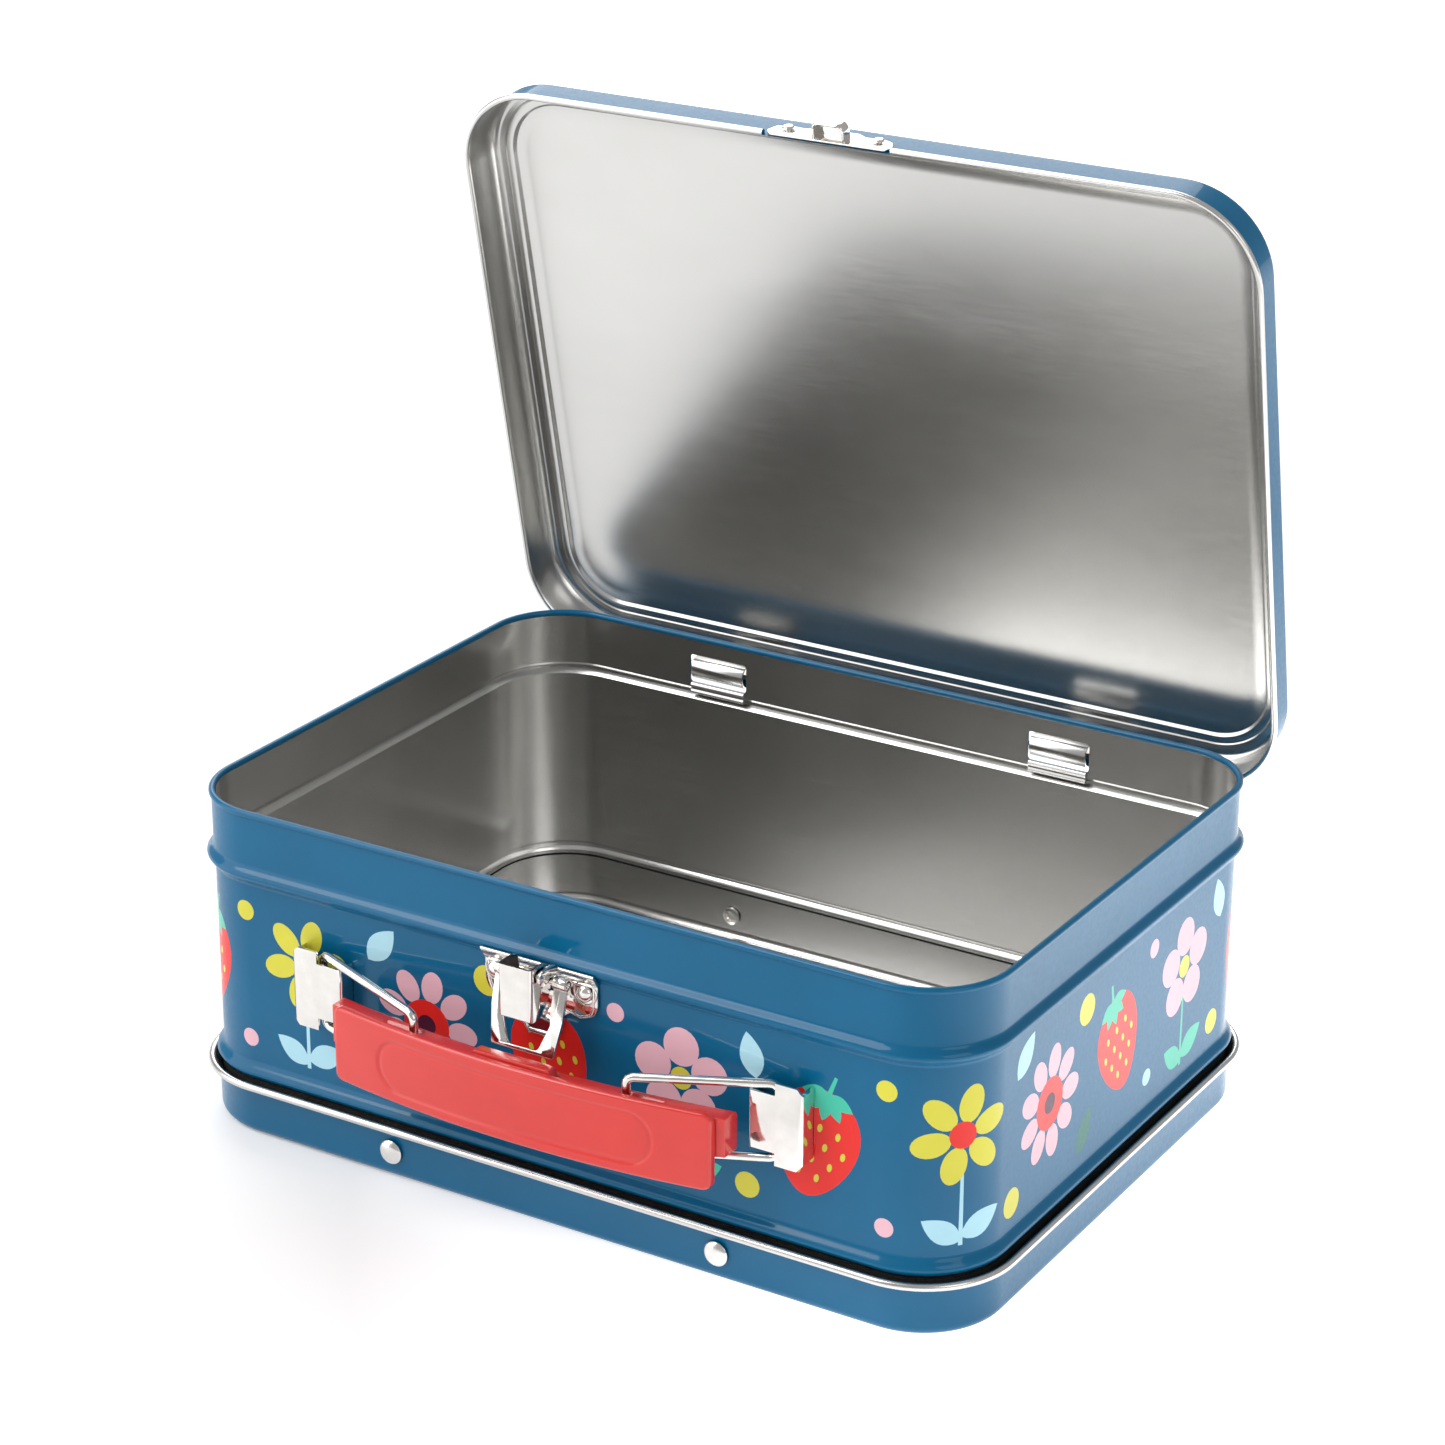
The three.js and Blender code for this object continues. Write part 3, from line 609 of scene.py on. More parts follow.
def ellipse(x, z, rx, rz, angle=0, steps=28):
    at = local(x, z, angle)
    around = [math.radians(360 * i / steps) for i in range(steps)]
    return [at(rx * math.cos(t), rz * math.sin(t)) for t in around]


def dot(x, z, radius, ink):
    return [(ink, ellipse(x, z, radius, radius, steps=20))]


def flower(x, z, reach, petals, ink, heart, heart_ink, turn_by=0, fullness=0.8, root=0.24):
    """Round petals from root times the reach outwards; neighbours meet at a fullness of 1."""
    middle, length = reach * (1 + root) / 2, reach * (1 - root) / 2
    width = middle * math.sin(math.pi / petals) * fullness
    out = []
    for i in range(petals):
        angle = turn_by + 360 * i / petals
        t = math.radians(angle)
        petal = ellipse(x + middle * math.cos(t), z + middle * math.sin(t), length, width, angle, 22)
        out.append((ink, petal))
    return out + [(heart_ink, ellipse(x, z, heart, heart))]


def leaf(x, z, length, width, angle, ink):
    """A pointed leaf whose stalk end is at (x, z)."""
    at = local(x, z, angle)
    out = []
    for side in (1, -1):
        for i in range(10):
            u = i / 10 if side > 0 else 1 - i / 10
            out.append(at(length * u, side * width * math.sin(math.pi * u) ** 0.8 * (1.15 - 0.4 * u)))
    return [(ink, out)]


def stalk(x0, z0, x1, z1, width, ink):
    """A straight stalk that narrows towards its far end."""
    away = Vector((x1 - x0, z1 - z0)).normalized()
    side = Vector((-away.y, away.x)) * width / 2
    a, b = Vector((x0, z0)), Vector((x1, z1))
    return [(ink, [tuple(p) for p in (a - side, b - side * 0.7, b + side * 0.7, a + side)])]


def berry(x, z, half, height, angle):
    """A strawberry: wide above, pointed below, with a leafy top and rows of seeds."""
    at = local(x, z, angle)
    body = []
    for i in range(BERRY_STEPS):
        around = 2 * math.pi * i / BERRY_STEPS
        fullness = 1 + BERRY_TAPER * math.cos(around)
        body.append(at(half * math.sin(around) * fullness, height * math.cos(around)))
    out = [("red", body)]
    for row, count in enumerate(SEED_ROWS):
        for i in range(count):
            place = at(half * SEED_PITCH * (i - (count - 1) / 2), height * (ROW_PITCH - ROW_PITCH * row))
            out.append(("yellow", ellipse(*place, *SEED_SIZE, angle, 10)))
    top = at(0, height * 0.94)
    for lean in CALYX_ANGLES:
        out += leaf(*top, half * 0.66, half * 0.17, angle + lean, "mint")
    return out + stalk(*top, *at(0.6, height * 1.3), 1.1, "mint")


def sprout(x, z, height, ink):
    """A stalk with a leaf on each side."""
    leaves = leaf(x, z + 2, 11, 3.0, 24, ink) + leaf(x, z + 1, 10, 2.8, 148, ink)
    return stalk(x, z, x, z + height, 1.0, ink) + leaves


def motifs():
    """One repeat of the pattern, a quarter of the way round: five large motifs, evenly spaced."""
    pitch = GIRTH / (MOTIFS * REPEATS)
    a, b, c, d, e = (pitch * (i - 3) for i in range(MOTIFS))
    gap = pitch / 2
    out = berry(a, 39, 9.6, 13, -14)
    out += sprout(b, 20.5, 20, "sky") + flower(b, 46, 11.5, 6, "yellow", 3.1, "red", 15)
    out += flower(c, 40, 13.4, 9, "pink", 6, "red", 0, 0.86, 0.42) + dot(c, 40, 2.4, "maroon")
    out += berry(d, 40, 9.2, 12.4, 18)
    out += sprout(e, 20.5, 20, "mint") + flower(e, 45, 11.8, 5, "pink", 2.6, "yellow", 18, 1.02)
    out += dot(a + gap, 55.5, 2.4, "yellow") + dot(a + gap, 24, 2.2, "pink")
    out += leaf(b + gap + 1, 52, 11, 3.1, 50, "sky") + dot(b + gap, 24, 3.4, "yellow")
    out += dot(c + gap, 55, 3.6, "yellow") + leaf(c + gap - 2, 21, 11, 3, 60, "green")
    out += dot(d + gap, 56, 2.2, "pink") + dot(d + gap - 1, 25, 2.0, "sky")
    out += leaf(e + gap + 2, 50, 10.5, 3, 104, "sky") + dot(e + gap, 24.5, 3.0, "yellow")
    return out


def outward(degrees):
    return Vector((math.cos(math.radians(degrees)), math.sin(math.radians(degrees))))


def on_wall(s, z):
    """Place and outward direction at a distance s along the unrolled wall."""
    s %= GIRTH
    if s > GIRTH + WALL_START:
        s -= GIRTH
    s -= WALL_START
    place = Vector((WALL_START, FRONT + CORNER))
    for length, facing in SIDES:
        out = outward(facing)
        place = place + Vector((-out.y, out.x)) * min(s, length)
        if s > length:
            s -= length
            if s > ARC_LENGTH:
                s -= ARC_LENGTH
                continue
            out = outward(facing + 90 * s / ARC_LENGTH)
        here = place + out * (CORNER + WALL)
        return Vector((*here, z)), Vector((*out, 0))
    return on_wall(0, z)


def area(outline):
    """Positive for an anticlockwise outline."""
    return sum(a[0] * b[1] - b[0] * a[1] for a, b in zip(outline, outline[1:] + outline[:1])) / 2


def wall_layout():
    """The unrolled wall as points, upright lines at the corners, and faces with their inks.

    Face 0 is the wall itself; where faces overlap, the last one is on top.
    """
    start, end = WALL_START, WALL_START + GIRTH
    points = [(start, WALL_LOW), (end, WALL_LOW), (end, WALL_HIGH), (start, WALL_HIGH)]
    faces, inks, lines = [[0, 1, 2, 3]], [None], []
    for repeat in range(-1, REPEATS + 1):
        for ink, outline in motifs():
            moved = [(s + repeat * GIRTH / REPEATS, z) for s, z in outline]
            if area(moved) < 0:
                moved.reverse()
            if max(p[0] for p in moved) < start or min(p[0] for p in moved) > end:
                continue
            faces.append(list(range(len(points), len(points) + len(moved))))
            inks.append(ink)
            points += moved
    mark = start
    for length, _ in SIDES:
        mark += length
        for i in range(CORNER_STEPS + 1):
            s = mark + ARC_LENGTH * i / CORNER_STEPS
            lines.append((len(points), len(points) + 1))
            points += [(s, WALL_LOW), (s, WALL_HIGH)]
        mark += ARC_LENGTH
    return points, lines, faces, inks


def printed_wall():
    """The outer face of the wall, divided along the print's outlines."""
    points, lines, faces, inks = wall_layout()
    scaled = [Vector((s / CDT_UNIT, z / CDT_UNIT)) for s, z in points]
    verts, _, triangles, _, _, origins = delaunay_2d_cdt(scaled, lines, faces, CDT_INSIDE, CDT_MERGE)
    mesh = bpy.data.meshes.new("printed_wall")
    kept = [(tri, origin) for tri, origin in zip(triangles, origins) if 0 in origin]
    placed = [on_wall(v.x * CDT_UNIT, v.y * CDT_UNIT) for v in verts]
    mesh.from_pydata([p * MM for p, _ in placed], [], [tri for tri, _ in kept])
    for polygon, (_, origin) in zip(mesh.polygons, kept):
        top = inks[max(origin)]
        polygon.material_index = 0 if top is None else FIRST_INK + INK_ORDER.index(top)
    obj = added("printed_wall", mesh)
    for material in (BLUE, TIN, *INKS.values()):
        mesh.materials.append(material)
    mesh.shade_smooth()
    mesh.normals_split_custom_set_from_vertices([n for _, n in placed])
    return obj


# ---- case -----------------------------------------------------------

def body_band():
    """The wall with its ridges, curled rim, hinge windows and flaps, and the printed wall over it."""
    outer = [(FOOT_SKIRT, BAND_LOW), (FOOT_SKIRT, LOWER_RIDGE[0] - 0.8)]
    outer += ridge(LOWER_RIDGE, WALL, WALL)
    outer += ridge(UPPER_RIDGE, WALL, SKIRT)
    curl = arc(*RIM, -75, 258, 22)
    top, wall, foot = SKIRT - SHEET, WALL - SHEET, FOOT_SKIRT - SHEET
    inner = [(top, UPPER_RIDGE[2] - 0.4), (top, 66.1), (top + 0.5, 65.6), (0.2, 64.9), (0.2, 64.3),
             (wall + 0.3, 63.5), (wall, 63.2), (wall, 17.2), (wall + 0.4, 16.7), (0.1, 16), (0.1, 15.4),
             (wall + 0.5, 14.5), (foot, 14.2), (foot, BAND_LOW)]
    # The band's foot below the lower ridge is painted near-black: painted shade for the shadowed gap above
    # the pan's rim.
    profile = [(d, z, PAINTED_GAP_SHADE_INDEX if z < LOWER_RIDGE[0] + 0.9 else 0) for d, z in outer + curl[:-1]]
    profile += [(*curl[-1], 1)] + [(d, z, 1) for d, z in inner]
    band = rounded_shell("band", profile, [BLUE, TIN, *INKS.values(), PAINTED_GAP_SHADE], closed=True)
    rear = DEPTH / 2 + SKIRT
    windows = []
    for side in (-1, 1):
        x = about(side * HINGE_X, WINDOW_HALF)
        corners = [(x[0], WINDOW_LOW), (x[1], WINDOW_LOW), (x[1], WINDOW_HIGH), (x[0], WINDOW_HIGH)]
        windows.append(prism("window", rounded(corners, 0.9), (rear - 2, rear + 2), "Y", []))
    boolean(band, "DIFFERENCE", *windows)
    bm = bmesh.new()
    bm.from_mesh(band.data)
    low, high = WALL_LOW * MM - 1e-6, WALL_HIGH * MM + 1e-6
    covered = [face for face in bm.faces
               if face.material_index == 0 and all(low < v.co.z < high for v in face.verts)]
    bmesh.ops.delete(bm, geom=covered, context="FACES_ONLY")
    bm.to_mesh(band.data)
    bm.free()
    smooth(band.data)
    folds = rounded(FLAP_FOLDS, 0.3)
    flaps = [prism("flap", folds, about(side * HINGE_X, FLAP_HALF), "X", [TIN]) for side in (-1, 1)]
    printed = printed_wall()
    show(joined("body_band_shell", [band, *flaps]), "case", "painted_tin", "body_band")
    show(printed, "case", "painted_tin")


def base_pan():
    """The bottom, with a wall that flares into a curled rim below the lower ridge."""
    corner = (PAN_WALL - PAN_FILLET, PAN_FILLET)
    fillet = arc(*corner, PAN_FILLET, -90, 0, 8)
    inside = arc(*corner, PAN_FILLET - SHEET, 0, -90, 8)
    profile = [(corner[0] - 1, 0, 0)] + [(d, z, 0) for d, z in fillet]
    profile += [(PAN_WALL, PAN_FLARE - 0.6, 0), (PAN_WALL + 0.25, PAN_FLARE + 0.1, 0)]
    profile += [(d, z, 1) for d, z in arc(*PAN_RIM, -140, 180, 22)]
    profile += [(PAN_WALL - SHEET + 0.1, PAN_FLARE + 0.4, 1), (PAN_WALL - SHEET, PAN_FLARE - 0.4, 1)]
    profile += [(d, z, 1) for d, z in inside] + [(corner[0] - 1, SHEET, 1)]
    pan = rounded_shell("base_pan_shell", profile, [BLUE, TIN], closed=False)
    show(pan, "case", "painted_tin", "base_pan")


def rivet_profile(head, height, shank, grip, tail, tail_height):
    """(radius, height) from the hollow in the tail to the top of the domed head."""
    dome = [(head * a, height * b) for a, b in arc(0, 0, 1, 15, 88, 7)]
    end = -grip - tail_height
    hollow = -grip - tail_height * 0.3
    return [(0, hollow), (tail * 0.42, hollow), (tail * 0.56, end), (tail * 0.86, end),
            (tail, -grip - tail_height * 0.7), (tail, -grip), (shank, -grip), (shank, 0), (head * 0.94, 0),
            *dome, (0, height)]


def rivets():
    for end, way in (("front", -1), ("rear", 1)):
        for name, side in ENDS:
            centre = (side * BASE_RIVET[0], way * (DEPTH / 2 + PAN_WALL + GAP), BASE_RIVET[1])
            obj = turned(f"rivet_{end}_{name}", rivet_profile(*BASE_RIVET_SIZE), centre, way, [RIVET])
            show(obj, "case", "rivet_steel", f"base_rivet_{end}_{name}")
    for name, side in ENDS:
        centre = (LATCH_X + side * LATCH_RIVET[0], PLATE_Y - PLATE_SHEET - GAP, LATCH_RIVET[1])
        obj = turned(f"plate_rivet_{name}", rivet_profile(*LATCH_RIVET_SIZE), centre, -1, [RIVET])
        show(obj, "case", "rivet_steel", f"latch_rivet_{name}")


# ---- latch ----------------------------------------------------------

def mirrored_outline(right):
    """An outline from its right half."""
    return right + [(-p[0], *p[1:]) for p in reversed(right)]


def shifted(points, x):
    return [(p[0] + x, *p[1:]) for p in points]


def latch_outline(right):
    """A rounded outline about the latch's centre line, from its right half."""
    return rounded(shifted(mirrored_outline(right), LATCH_X), 1)


def latch_plate():
    """A flat plate with a bead near its edge, rings round the rivets, a folded lip and two ears."""
    outline = latch_outline([*PLATE_EDGE, (PLATE_HALF, PLATE_BEND, 0.3)])
    holes = [disc(LATCH_X + side * LATCH_RIVET[0], LATCH_RIVET[1], 1.3) for side in (-1, 1)]
    face = PLATE_Y - PLATE_SHEET
    sheet = plate("sheet", outline, holes, (face, PLATE_Y), 0.12, [NICKEL])
    lip = [(PLATE_Y, PLATE_BEND - 0.6), (PLATE_Y, PLATE_BEND), (-74.3, 64.3), (-74.8, 64.0),
           (face, PLATE_BEND - 0.4)]
    flange = prism("lip", rounded(lip, 0.2), about(LATCH_X, PLATE_HALF), "X", [NICKEL])
    inner = [(x * BEAD_WIDTH, BEAD_MIDDLE + (z - BEAD_MIDDLE) * BEAD_HEIGHT, 1) for x, z, _ in PLATE_EDGE]
    inner += [(13.4, 60.9, 0.6)]
    bead = [(x, face, z) for x, z in latch_outline(inner)]
    parts = [sheet, flange, tube("bead", bead, 0.32, [NICKEL], 0.4, closed=True, sides=2)]
    for side in (-1, 1):
        ring = [(x, face, z) for x, z in disc(LATCH_X + side * LATCH_RIVET[0], LATCH_RIVET[1], 2.75, 28)]
        parts.append(tube("ring", ring, 0.3, [NICKEL], 0.3, closed=True, sides=2))
        nose = arc(*LEVER_PIN, EAR_RADIUS, 90, 270, 12)
        span = sorted((LATCH_X + side * EAR_INNER, LATCH_X + side * EAR_OUTER))
        parts.append(bevel(prism("ear", [*EAR_ROOT, *nose, EAR_HEEL], span, "X", [NICKEL]), 0.12))
    show(joined("latch_plate_detail", parts), "case", "nickel_plate", "latch_plate")


def pins():
    for name, node, centre, radius, half, body in (
        ("lever_axle", "latch_pin", LEVER_PIN, LEVER_PIN_RADIUS, LEVER_PIN_HALF, "case"),
        ("loop_axle", "loop_pin", LOOP_PIN, LOOP_PIN_RADIUS, LOOP_PIN_HALF, "loop_hanger"),
    ):
        rod = prism(name, disc(*centre, radius, 28), about(LATCH_X, half), "X", [NICKEL], 50)
        show(bevel(rod, 0.18), body, "nickel_plate", node)


def channel(name, x, y, z, bend, thickness):
    """A folded sheet, open to the rear: the outline of its section carried upwards."""
    outer = [(x[0], y[1], 0.02), (x[0], y[0], bend), (x[1], y[0], bend), (x[1], y[1], 0.02)]
    x0, x1, y0, inner_bend = x[0] + thickness, x[1] - thickness, y[0] + thickness, bend - thickness
    inner = [(x1, y[1], 0.02), (x1, y0, inner_bend), (x0, y0, inner_bend), (x0, y[1], 0.02)]
    return prism(name, rounded(outer + inner, bend, 6), z, "Z", [NICKEL], 40)


def latch_lever():
    """A channel whose sides are trimmed to LEVER_SIDE; its inside is painted a darker steel as painted shade.
    """
    x = about(LATCH_X, LEVER_HALF)
    body = channel("lever", x, (LEVER_FRONT, LEVER_REAR), (LEVER_LOW, LEVER_HIGH), 1.0, LEVER_SHEET)
    keep = prism("keep", rounded(LEVER_SIDE, 0.5), about(LATCH_X, 6), "X", [])
    boolean(body, "INTERSECT", keep)
    smooth(body.data)
    body = bevel(body, 0.08, 1, 50)
    # Faces inside the channel get the darker steel: painted shade where the channel's inside lies in shadow.
    body.data.materials.append(PAINTED_SHADE_STEEL)
    half, front = LEVER_HALF - LEVER_SHEET + 0.1, LEVER_FRONT + LEVER_SHEET - 0.1
    for face in body.data.polygons:
        x, y, _ = face.center / MM
        if abs(x - LATCH_X) < half and y > front:
            face.material_index = 1
    show(body, "lever", "nickel_plate", "latch_lever")


def latch_loop():
    """Drawn hanging straight down from its pin, and then leaned forwards."""
    y, top = LOOP_PIN
    low, wide = top - LOOP_REACH, LOOP_OUTER
    right = [(LOOP_INNER, top, 0.05), (LOOP_INNER, top - 7, 2), (6.2, top - 9.5, 2.5), (3.9, low + 0.9, 1.5)]
    left = [(-x, z, r) for x, z, r in reversed(right)]
    outline = [(wide - 1.2, low, 0.8), (wide, top - 8, 4), (wide, top, 0.05), *right]
    outline += [*left, (-wide, top, 0.05), (-wide, top - 8, 4), (1.2 - wide, low, 0.8)]
    outline = rounded(shifted(outline, LATCH_X), 1, 8)
    parts = [bevel(prism("sheet", outline, about(y, LOOP_SHEET / 2), "Y", [NICKEL]), 0.14)]
    for side in (-1, 1):
        span = sorted((LATCH_X + side * LOOP_INNER, LATCH_X + side * LOOP_OUTER))
        barrel = arc(y, top, KNUCKLE_RADIUS, 0, 360, 28)[:-1]
        bore = arc(y, top, KNUCKLE_BORE, 0, 360, 24)[:-1]
        knuckle = prism("knuckle", barrel, span, "X", [NICKEL], 50)
        past = (span[0] - 1, span[1] + 1)
        parts.append(boolean(bevel(knuckle, 0.2), "DIFFERENCE", prism("bore", bore, past, "X", [])))
    loop = joined("latch_loop_detail", parts)
    smooth(loop.data)
    show(turn(loop, LOOP_LEAN, *LOOP_PIN), "loop", "nickel_plate", "latch_loop")


# ---- carrying handle ------------------------------------------------

def handle_bracket(name, side):
    """Drawn on the right; the left one is its mirror image."""
    x, z = BRACKET_X, BRACKET_Z
    body = channel("bracket", x, (BRACKET_FRONT, PLATE_Y), z, 0.9, BRACKET_SHEET)
    cut_x, cut_z = (x[0] + BRACKET_CUT_X, x[1] - BRACKET_CUT_X), (z[0] + BRACKET_CUT_Z, z[1] - BRACKET_CUT_Z)
    face = rounded([(cut_x[0], z[0]), (cut_x[1], z[0]), (x[1], cut_z[0]), (x[1], cut_z[1]),
                    (cut_x[1], z[1]), (cut_x[0], z[1]), (x[0], cut_z[1]), (x[0], cut_z[0])], 0.5)
    boolean(body, "INTERSECT", prism("face", face, (-80, -70), "Y", []))
    notches = []
    for span in ((z[1] - NOTCH_DEPTH, z[1] + 1), (z[0] - 1, z[0] + NOTCH_DEPTH)):
        notches.append(block("notch", (x[0] - 1, NOTCH_REACH), (-79, -71), span))
    boolean(body, "DIFFERENCE", *notches)
    inside = FRONT - WALL + SHEET + GAP
    through, folded = (PLATE_Y - 0.4, inside + BRACKET_SHEET), (inside, inside + BRACKET_SHEET)
    left, right = x[0] + BRACKET_SHEET, x[1] - BRACKET_SHEET
    tabs = [block("tab", (x[0], left), through, TAB_Z),
            block("tab", (x[0] - TAB_FOLD, left), folded, TAB_Z),
            block("tab", (right, x[1]), through, TAB_Z),
            block("tab", (right, x[1] + TAB_FOLD), folded, TAB_Z)]
    for tab in tabs:
        tab.data.materials.append(NICKEL)
        bevel(tab, 0.15)
    bracket = joined(f"bracket_{name}", [bevel(body, 0.1, 2, 50), *tabs])
    if side < 0:
        bracket.data.transform(Matrix.Scale(-1, 4, (1, 0, 0)))
        bracket.data.flip_normals()
    show(bracket, "case", "nickel_plate", f"handle_bracket_{name}")


def handle_link(name, side):
    route = [(side * x, y, z) for x, y, z in LINK_ROUTE]
    wire = tube(f"wire_{name}", route, LINK_RADIUS, [NICKEL], LINK_BEND)
    show(wire, f"link_{name}", "nickel_plate", f"handle_link_{name}")


def grip_front(x):
    """y of the grip's front face, which bows forwards."""
    return GRIP_FRONT + GRIP_BOW * (x / GRIP_HALF) ** 2


def panel_depth(x, z):
    """Depth of the sunk oval panel in the grip's face."""
    away = math.hypot(max(abs(x) - (PANEL_HALF - PANEL_RADIUS), 0), z - PANEL_Z) - PANEL_RADIUS
    groove = max(1 - abs(away) / GROOVE_HALF, 0)
    return PANEL_DEPTH * min(max(0.5 - away / PANEL_SLOPE, 0), 1) + GROOVE_DEPTH * groove


def lofted(name, stations, materials, sharp=35):
    """Closed loops of equal length, one after another, with both ends filled."""
    bm = bmesh.new()
    rings = [[bm.verts.new([v * MM for v in point]) for point in loop] for loop in stations]
    for low, high in zip(rings, rings[1:]):
        for j in range(len(low)):
            k = (j + 1) % len(low)
            bm.faces.new((low[j], low[k], high[k], high[j]))
    bm.faces.new(rings[0])
    bm.faces.new(rings[-1])
    return from_bmesh(name, bm, materials, sharp)


def grip_shell():
    """The grip's front, lofted along X with rounded edges and ends."""
    half, edge = GRIP_HALF, GRIP_EDGE
    end_steps, long_steps, face_steps = 5, 236, 44
    quarter = [math.pi / 2 * i / 4 for i in range(5)]
    stations = []
    xs = [-half + edge * (1 - math.cos(math.pi / 2 * i / end_steps)) for i in range(end_steps + 1)]
    xs += [-half + edge + (2 * half - 2 * edge) * i / long_steps for i in range(1, long_steps)]
    xs += [-x for x in reversed(xs[:end_steps + 1])]
    for x in xs:
        near_end = max(abs(x) - (half - edge), 0)
        inset = edge - math.sqrt(max(edge ** 2 - near_end ** 2, 0))
        past = max(abs(x) - (half - GRIP_CORNER), 0)
        corner = GRIP_CORNER - math.sqrt(max(GRIP_CORNER ** 2 - past ** 2, 0))
        z0, z1 = GRIP_LOW + corner, GRIP_HIGH - corner
        y = grip_front(x)
        loop = []
        for i in range(face_steps + 1):
            z = z0 + edge + (z1 - z0 - 2 * edge) * i / face_steps
            loop.append((x, y + inset + panel_depth(x, z), z))
        loop += [(x, y + inset + edge - edge * math.cos(t), z1 - edge + edge * math.sin(t))
                 for t in quarter[1:]]
        loop += [(x, y + GRIP_THICK, z1), (x, y + GRIP_THICK, z0)]
        loop += [(x, y + inset + edge - edge * math.sin(t), z0 + edge - edge * math.cos(t))
                 for t in quarter[:4]]
        stations.append(loop)
    show(lofted("grip_shell", stations, [RED_PLASTIC], 50), "grip", "red_plastic", "handle_grip")


def grip_core():
    """The grip's back: a bar with a pocket at each end, a rib below and a hump above."""
    low, high, near, far = CORE_LOW, CORE_HIGH, CORE_NEAR, CORE_FAR
    core_steps, rib_steps = 60, 24
    stations = []
    for i in range(core_steps + 1):
        x = -CORE_HALF + 2 * CORE_HALF * i / core_steps
        y = grip_front(x)
        corners = [(y + near, low, 0.3), (y + near, high, 0.3), (y + far, high, 1.2), (y + far, low, 1.0)]
        stations.append([(x, *p) for p in rounded(corners, 1, 4)])
    core = bevel(lofted("core", stations, [RED_PLASTIC], 40), 0.5, 3, 60)
    pockets = [
        block("pocket", sorted((side * POCKET_X[0], side * POCKET_X[1])), POCKET_Y, (low - 1, high + 1))
        for side in (-1, 1)
    ]
    boolean(core, "DIFFERENCE", *pockets)
    rib_stations = []
    for i in range(rib_steps + 1):
        x = -RIB_HALF + 2 * RIB_HALF * i / rib_steps
        y = grip_front(x)
        corners = [(y + near, RIB_LOW), (y + near, low + 0.5), (y + far, low + 0.5), (y + far, RIB_LOW)]
        rib_stations.append([(x, *p) for p in rounded(corners, 0.6, 3)])
    rib = lofted("rib", rib_stations, [RED_PLASTIC], 40)
    corners = [(-HUMP_HALF, HUMP_LOW, 0.1), (HUMP_HALF, HUMP_LOW, 0.1), (HUMP_TOP_HALF, HUMP_HIGH, 0.9),
               (-HUMP_TOP_HALF, HUMP_HIGH, 0.9)]
    hump = bevel(prism("hump", rounded(corners, 0.5), HUMP_Y, "Y", [RED_PLASTIC]), 0.35, 3)
    show(joined("grip_core", [core, rib, hump]), "grip", "red_plastic", "handle_grip_back")


# ---- lid ------------------------------------------------------------
# Drawn shut, then opened.

def opened(obj):
    return turn(obj, LID_OPEN, *LID_AXIS)


def lid_pan():
    """A shallow pan with a raised panel, a curled rim and a notch for the catch plate."""
    corner = (LID_WALL - LID_FILLET, LID_TOP - LID_FILLET)
    panel, step, under = LID_TOP + LID_RISE, LID_FLANGE - LID_STEP, LID_TOP - SHEET
    outer = [(LID_FLANGE - 3, panel), (step, panel), (step + 0.2, panel - 0.1),
             (LID_FLANGE - 0.2, LID_TOP + 0.1), (LID_FLANGE, LID_TOP)] + arc(*corner, LID_FILLET, 90, 0, 9)
    curl = arc(*LID_RIM, 127, -180, 22)
    inner = [(LID_WALL - SHEET, 72)] + arc(*corner, LID_FILLET - SHEET, 0, 90, 9)
    inner += [(-2.6, under), (-2.9, under - 0.22), (-3.2, under), (LID_FLANGE - 0.2, under),
              (LID_FLANGE - 0.4, under + 0.1), (step - 0.1, panel - SHEET - 0.1), (step - 0.3, panel - SHEET),
              (LID_FLANGE - 4, panel - SHEET)]
    profile = [(d, z, 0) for d, z in outer] + [(d, z, 1) for d, z in curl + inner]
    lid = rounded_shell("lid_pan_shell", profile, [BLUE, TIN], closed=False)
    skirt = FRONT - LID_WALL
    notch = block("notch", about(LATCH_X, CATCH_HALF + GAP), (skirt - 4, skirt - 0.02), LID_NOTCH)
    boolean(lid, "DIFFERENCE", notch)
    smooth(lid.data)
    show(opened(lid), "lid", "painted_tin", "lid_pan")


def hinge_tongue(name, side):
    """A strip on the lid's rear, curled round the hinge line."""
    y, z = LID_AXIS
    face = DEPTH / 2 + LID_WALL + GAP
    back = face + TONGUE_STRAP
    outline = [*arc(y, z, TONGUE_OUTER, TONGUE_FROM, TONGUE_TO, 40), (back, z + 3.2), (back, z + 7),
               (face, z + 7), (face, z + 2.9), *arc(y, z, TONGUE_INNER, TONGUE_TO, TONGUE_FROM, 40)]
    strip = prism("tongue", outline, about(side * HINGE_X, TONGUE_HALF), "X", [TIN], 30)
    strip.name = f"tongue_{name}"
    show(opened(bevel(strip, 0.1, 2, 60)), "lid", "bare_tin", f"hinge_tongue_{name}")


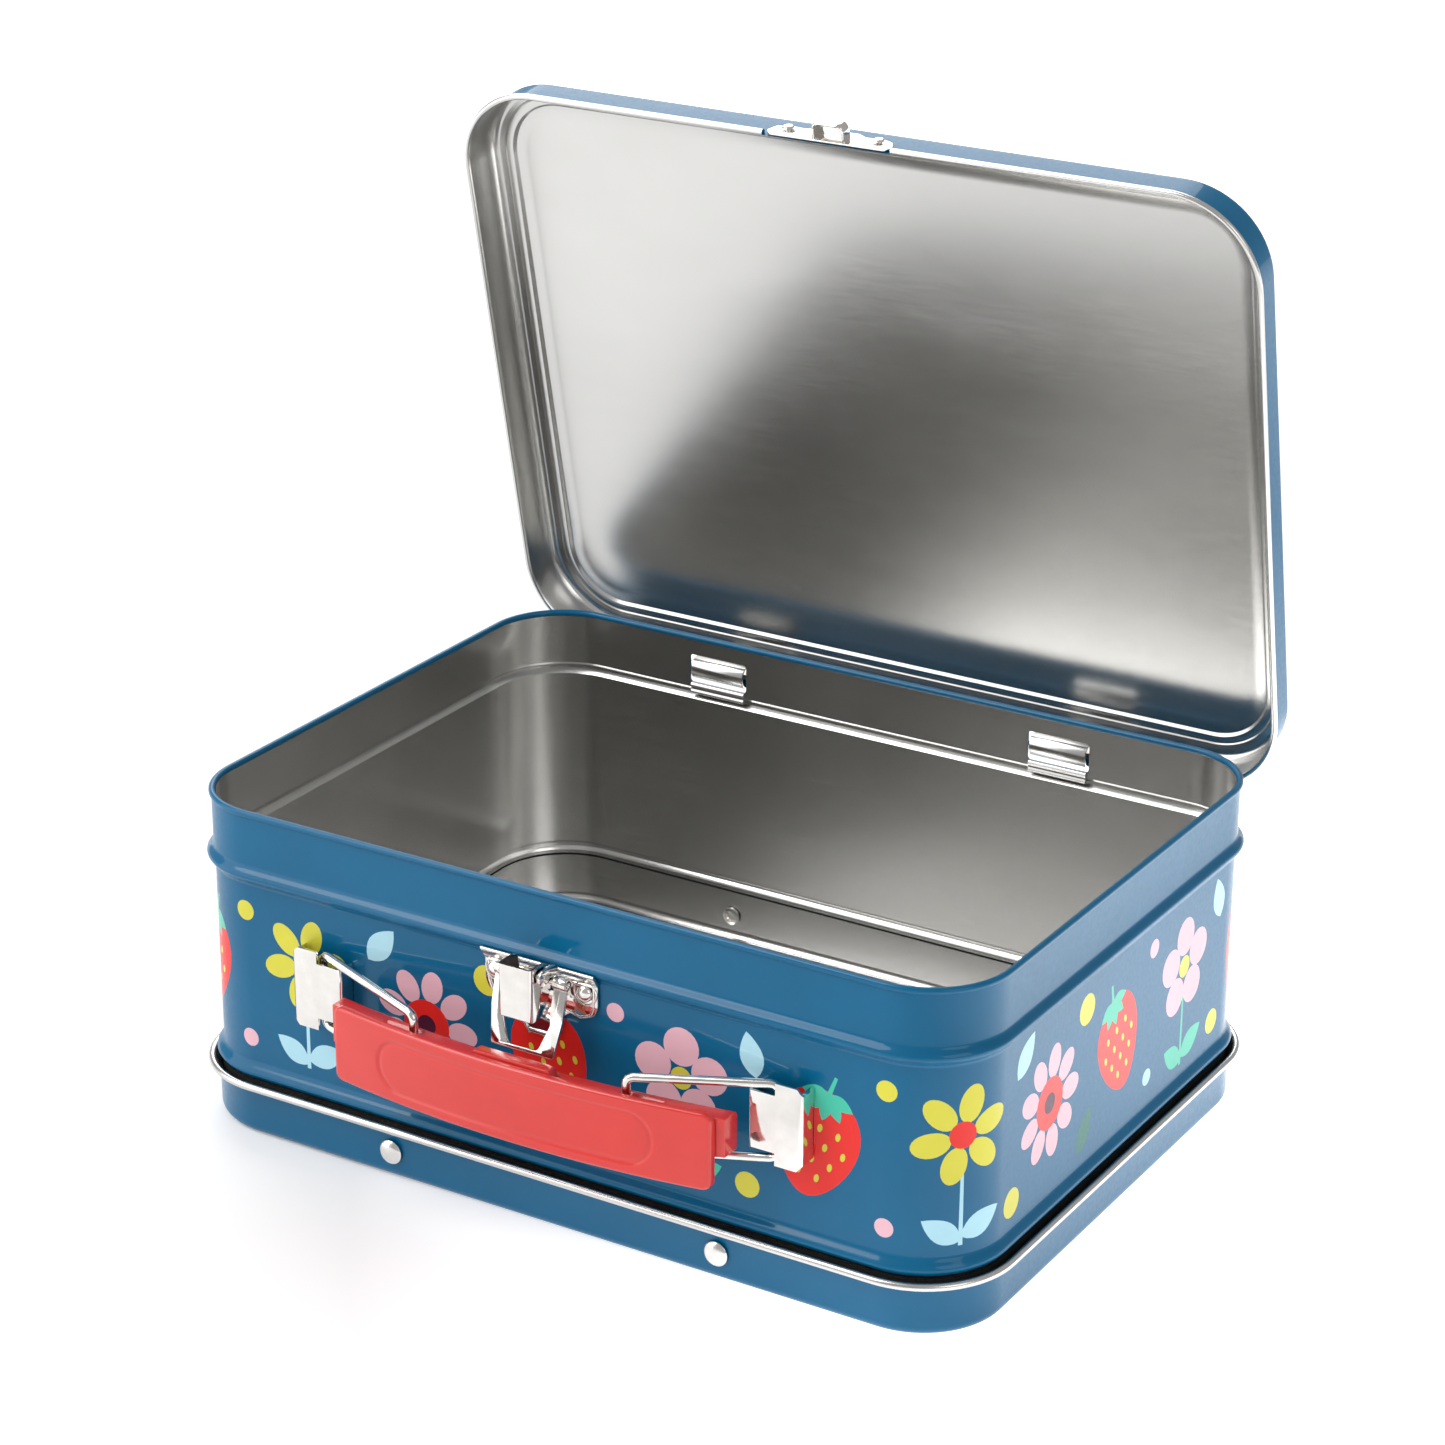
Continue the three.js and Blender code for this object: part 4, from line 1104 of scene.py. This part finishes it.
def catch_plate():
    """The plate on the lid with the nub the loop hooks over, and its two rivets."""
    back = FRONT - LID_WALL - GAP
    sheet = plate("sheet", latch_outline(CATCH_EDGE), [], (back - CATCH_SHEET, back), 0.1, [NICKEL])
    stations = []
    for inset, z in NUB_STATIONS:
        half, tip = NUB_HALF - inset, back - NUB_OUT + inset
        corners = [(-half, back - 0.1, 0.02), (0.3 - half, tip, NUB_CORNER), (half - 0.3, tip, NUB_CORNER),
                   (half, back - 0.1, 0.02)]
        stations.append([(x + LATCH_X, y, z) for x, y in rounded(corners, 1, 8)])
    nub = lofted("nub", stations, [NICKEL], 50)
    show(opened(joined("catch_detail", [sheet, nub])), "lid", "nickel_plate", "catch_plate")
    for name, side in ENDS:
        centre = (LATCH_X + side * CATCH_RIVET[0], back - CATCH_SHEET - GAP, CATCH_RIVET[1])
        head = turned(f"catch_head_{name}", rivet_profile(*CATCH_RIVET_SIZE), centre, -1, [RIVET], 24)
        show(opened(head), "lid", "rivet_steel", f"catch_rivet_{name}")


body_band()
base_pan()
rivets()
latch_plate()
pins()
latch_lever()
latch_loop()
for end_name, end_side in ENDS:
    handle_bracket(end_name, end_side)
    handle_link(end_name, end_side)
    hinge_tongue(end_name, end_side)
grip_shell()
grip_core()
lid_pan()
catch_plate()


# ---- floor, light and camera ----------------------------------------

def studio():
    """A white floor with painted light: a glowing pool at the box's right rear and an even glow far from the
    box. Then a pale sky and four lamps.
    """
    bm = bmesh.new()
    bmesh.ops.create_grid(bm, x_segments=1, y_segments=1, size=6)
    floor = from_bmesh("floor", bm, [])
    n = Nodes("floor_paper")
    n.set(Base_Color=(0.72, 0.72, 0.72, 1), Roughness=0.7, Emission_Color=(1, 1, 1, 1))
    # Painted light: the floor glows in a pool at the box's right rear to light the box's right side; far from
    # the box it glows evenly white.
    near = n.spread(n.pool((0.24, 0.1), 0.34), 0.22, 2.3, 0, 0.8)
    far = n.spread(n.pool((0, 0), 0.9), 0.9, 0, 0, 0.45)
    n.link(n.total(near, far), n.shader.inputs["Emission Strength"])
    n.bump(n.noise(60, 2), 0.02, 0.001)
    floor.data.materials.append(n.material)
    world = bpy.data.worlds.new("studio")
    world.use_nodes = True
    world.node_tree.nodes["Background"].inputs["Color"].default_value = (1, 1, 1, 1)
    world.node_tree.nodes["Background"].inputs["Strength"].default_value = 0.45
    bpy.context.scene.world = world
    for name, place, size, power in (
        ("key", (-1.1, -1.0, 1.9), 1.3, 26),
        ("front", (-1.6, -1.25, 0.85), 1.9, 20),
        ("fill", (1.6, -0.7, 1.1), 1.0, 5),
        ("back", (-0.9, 1.1, 1.35), 1.5, 20),
    ):
        light = bpy.data.lights.new(name, "AREA")
        light.shape = "SQUARE"
        light.size = size
        light.energy = power
        lamp = added(name, light)
        lamp.location = place
        lamp.rotation_euler = (Vector((0, 0, 0.08)) - Vector(place)).to_track_quat("-Z", "Y").to_euler()


def camera():
    """A long lens that looks down on the front and right of the box."""
    data = bpy.data.cameras.new("camera")
    data.sensor_width = 36
    data.lens = 97.23
    data.clip_start = 0.01
    view = added("camera", data)
    right = Vector((0.8532, 0.5216, 0.0048))
    up = Vector((-0.2015, 0.3211, 0.9254))
    back = Vector((0.4811, -0.7905, 0.3790))
    turn_to = Matrix((right, up, back)).transposed().to_4x4()
    view.matrix_world = Matrix.Translation((0.41792, -0.68919, 0.42342)) @ turn_to
    bpy.context.scene.camera = view


studio()
camera()
bpy.context.scene.view_settings.view_transform = "Standard"
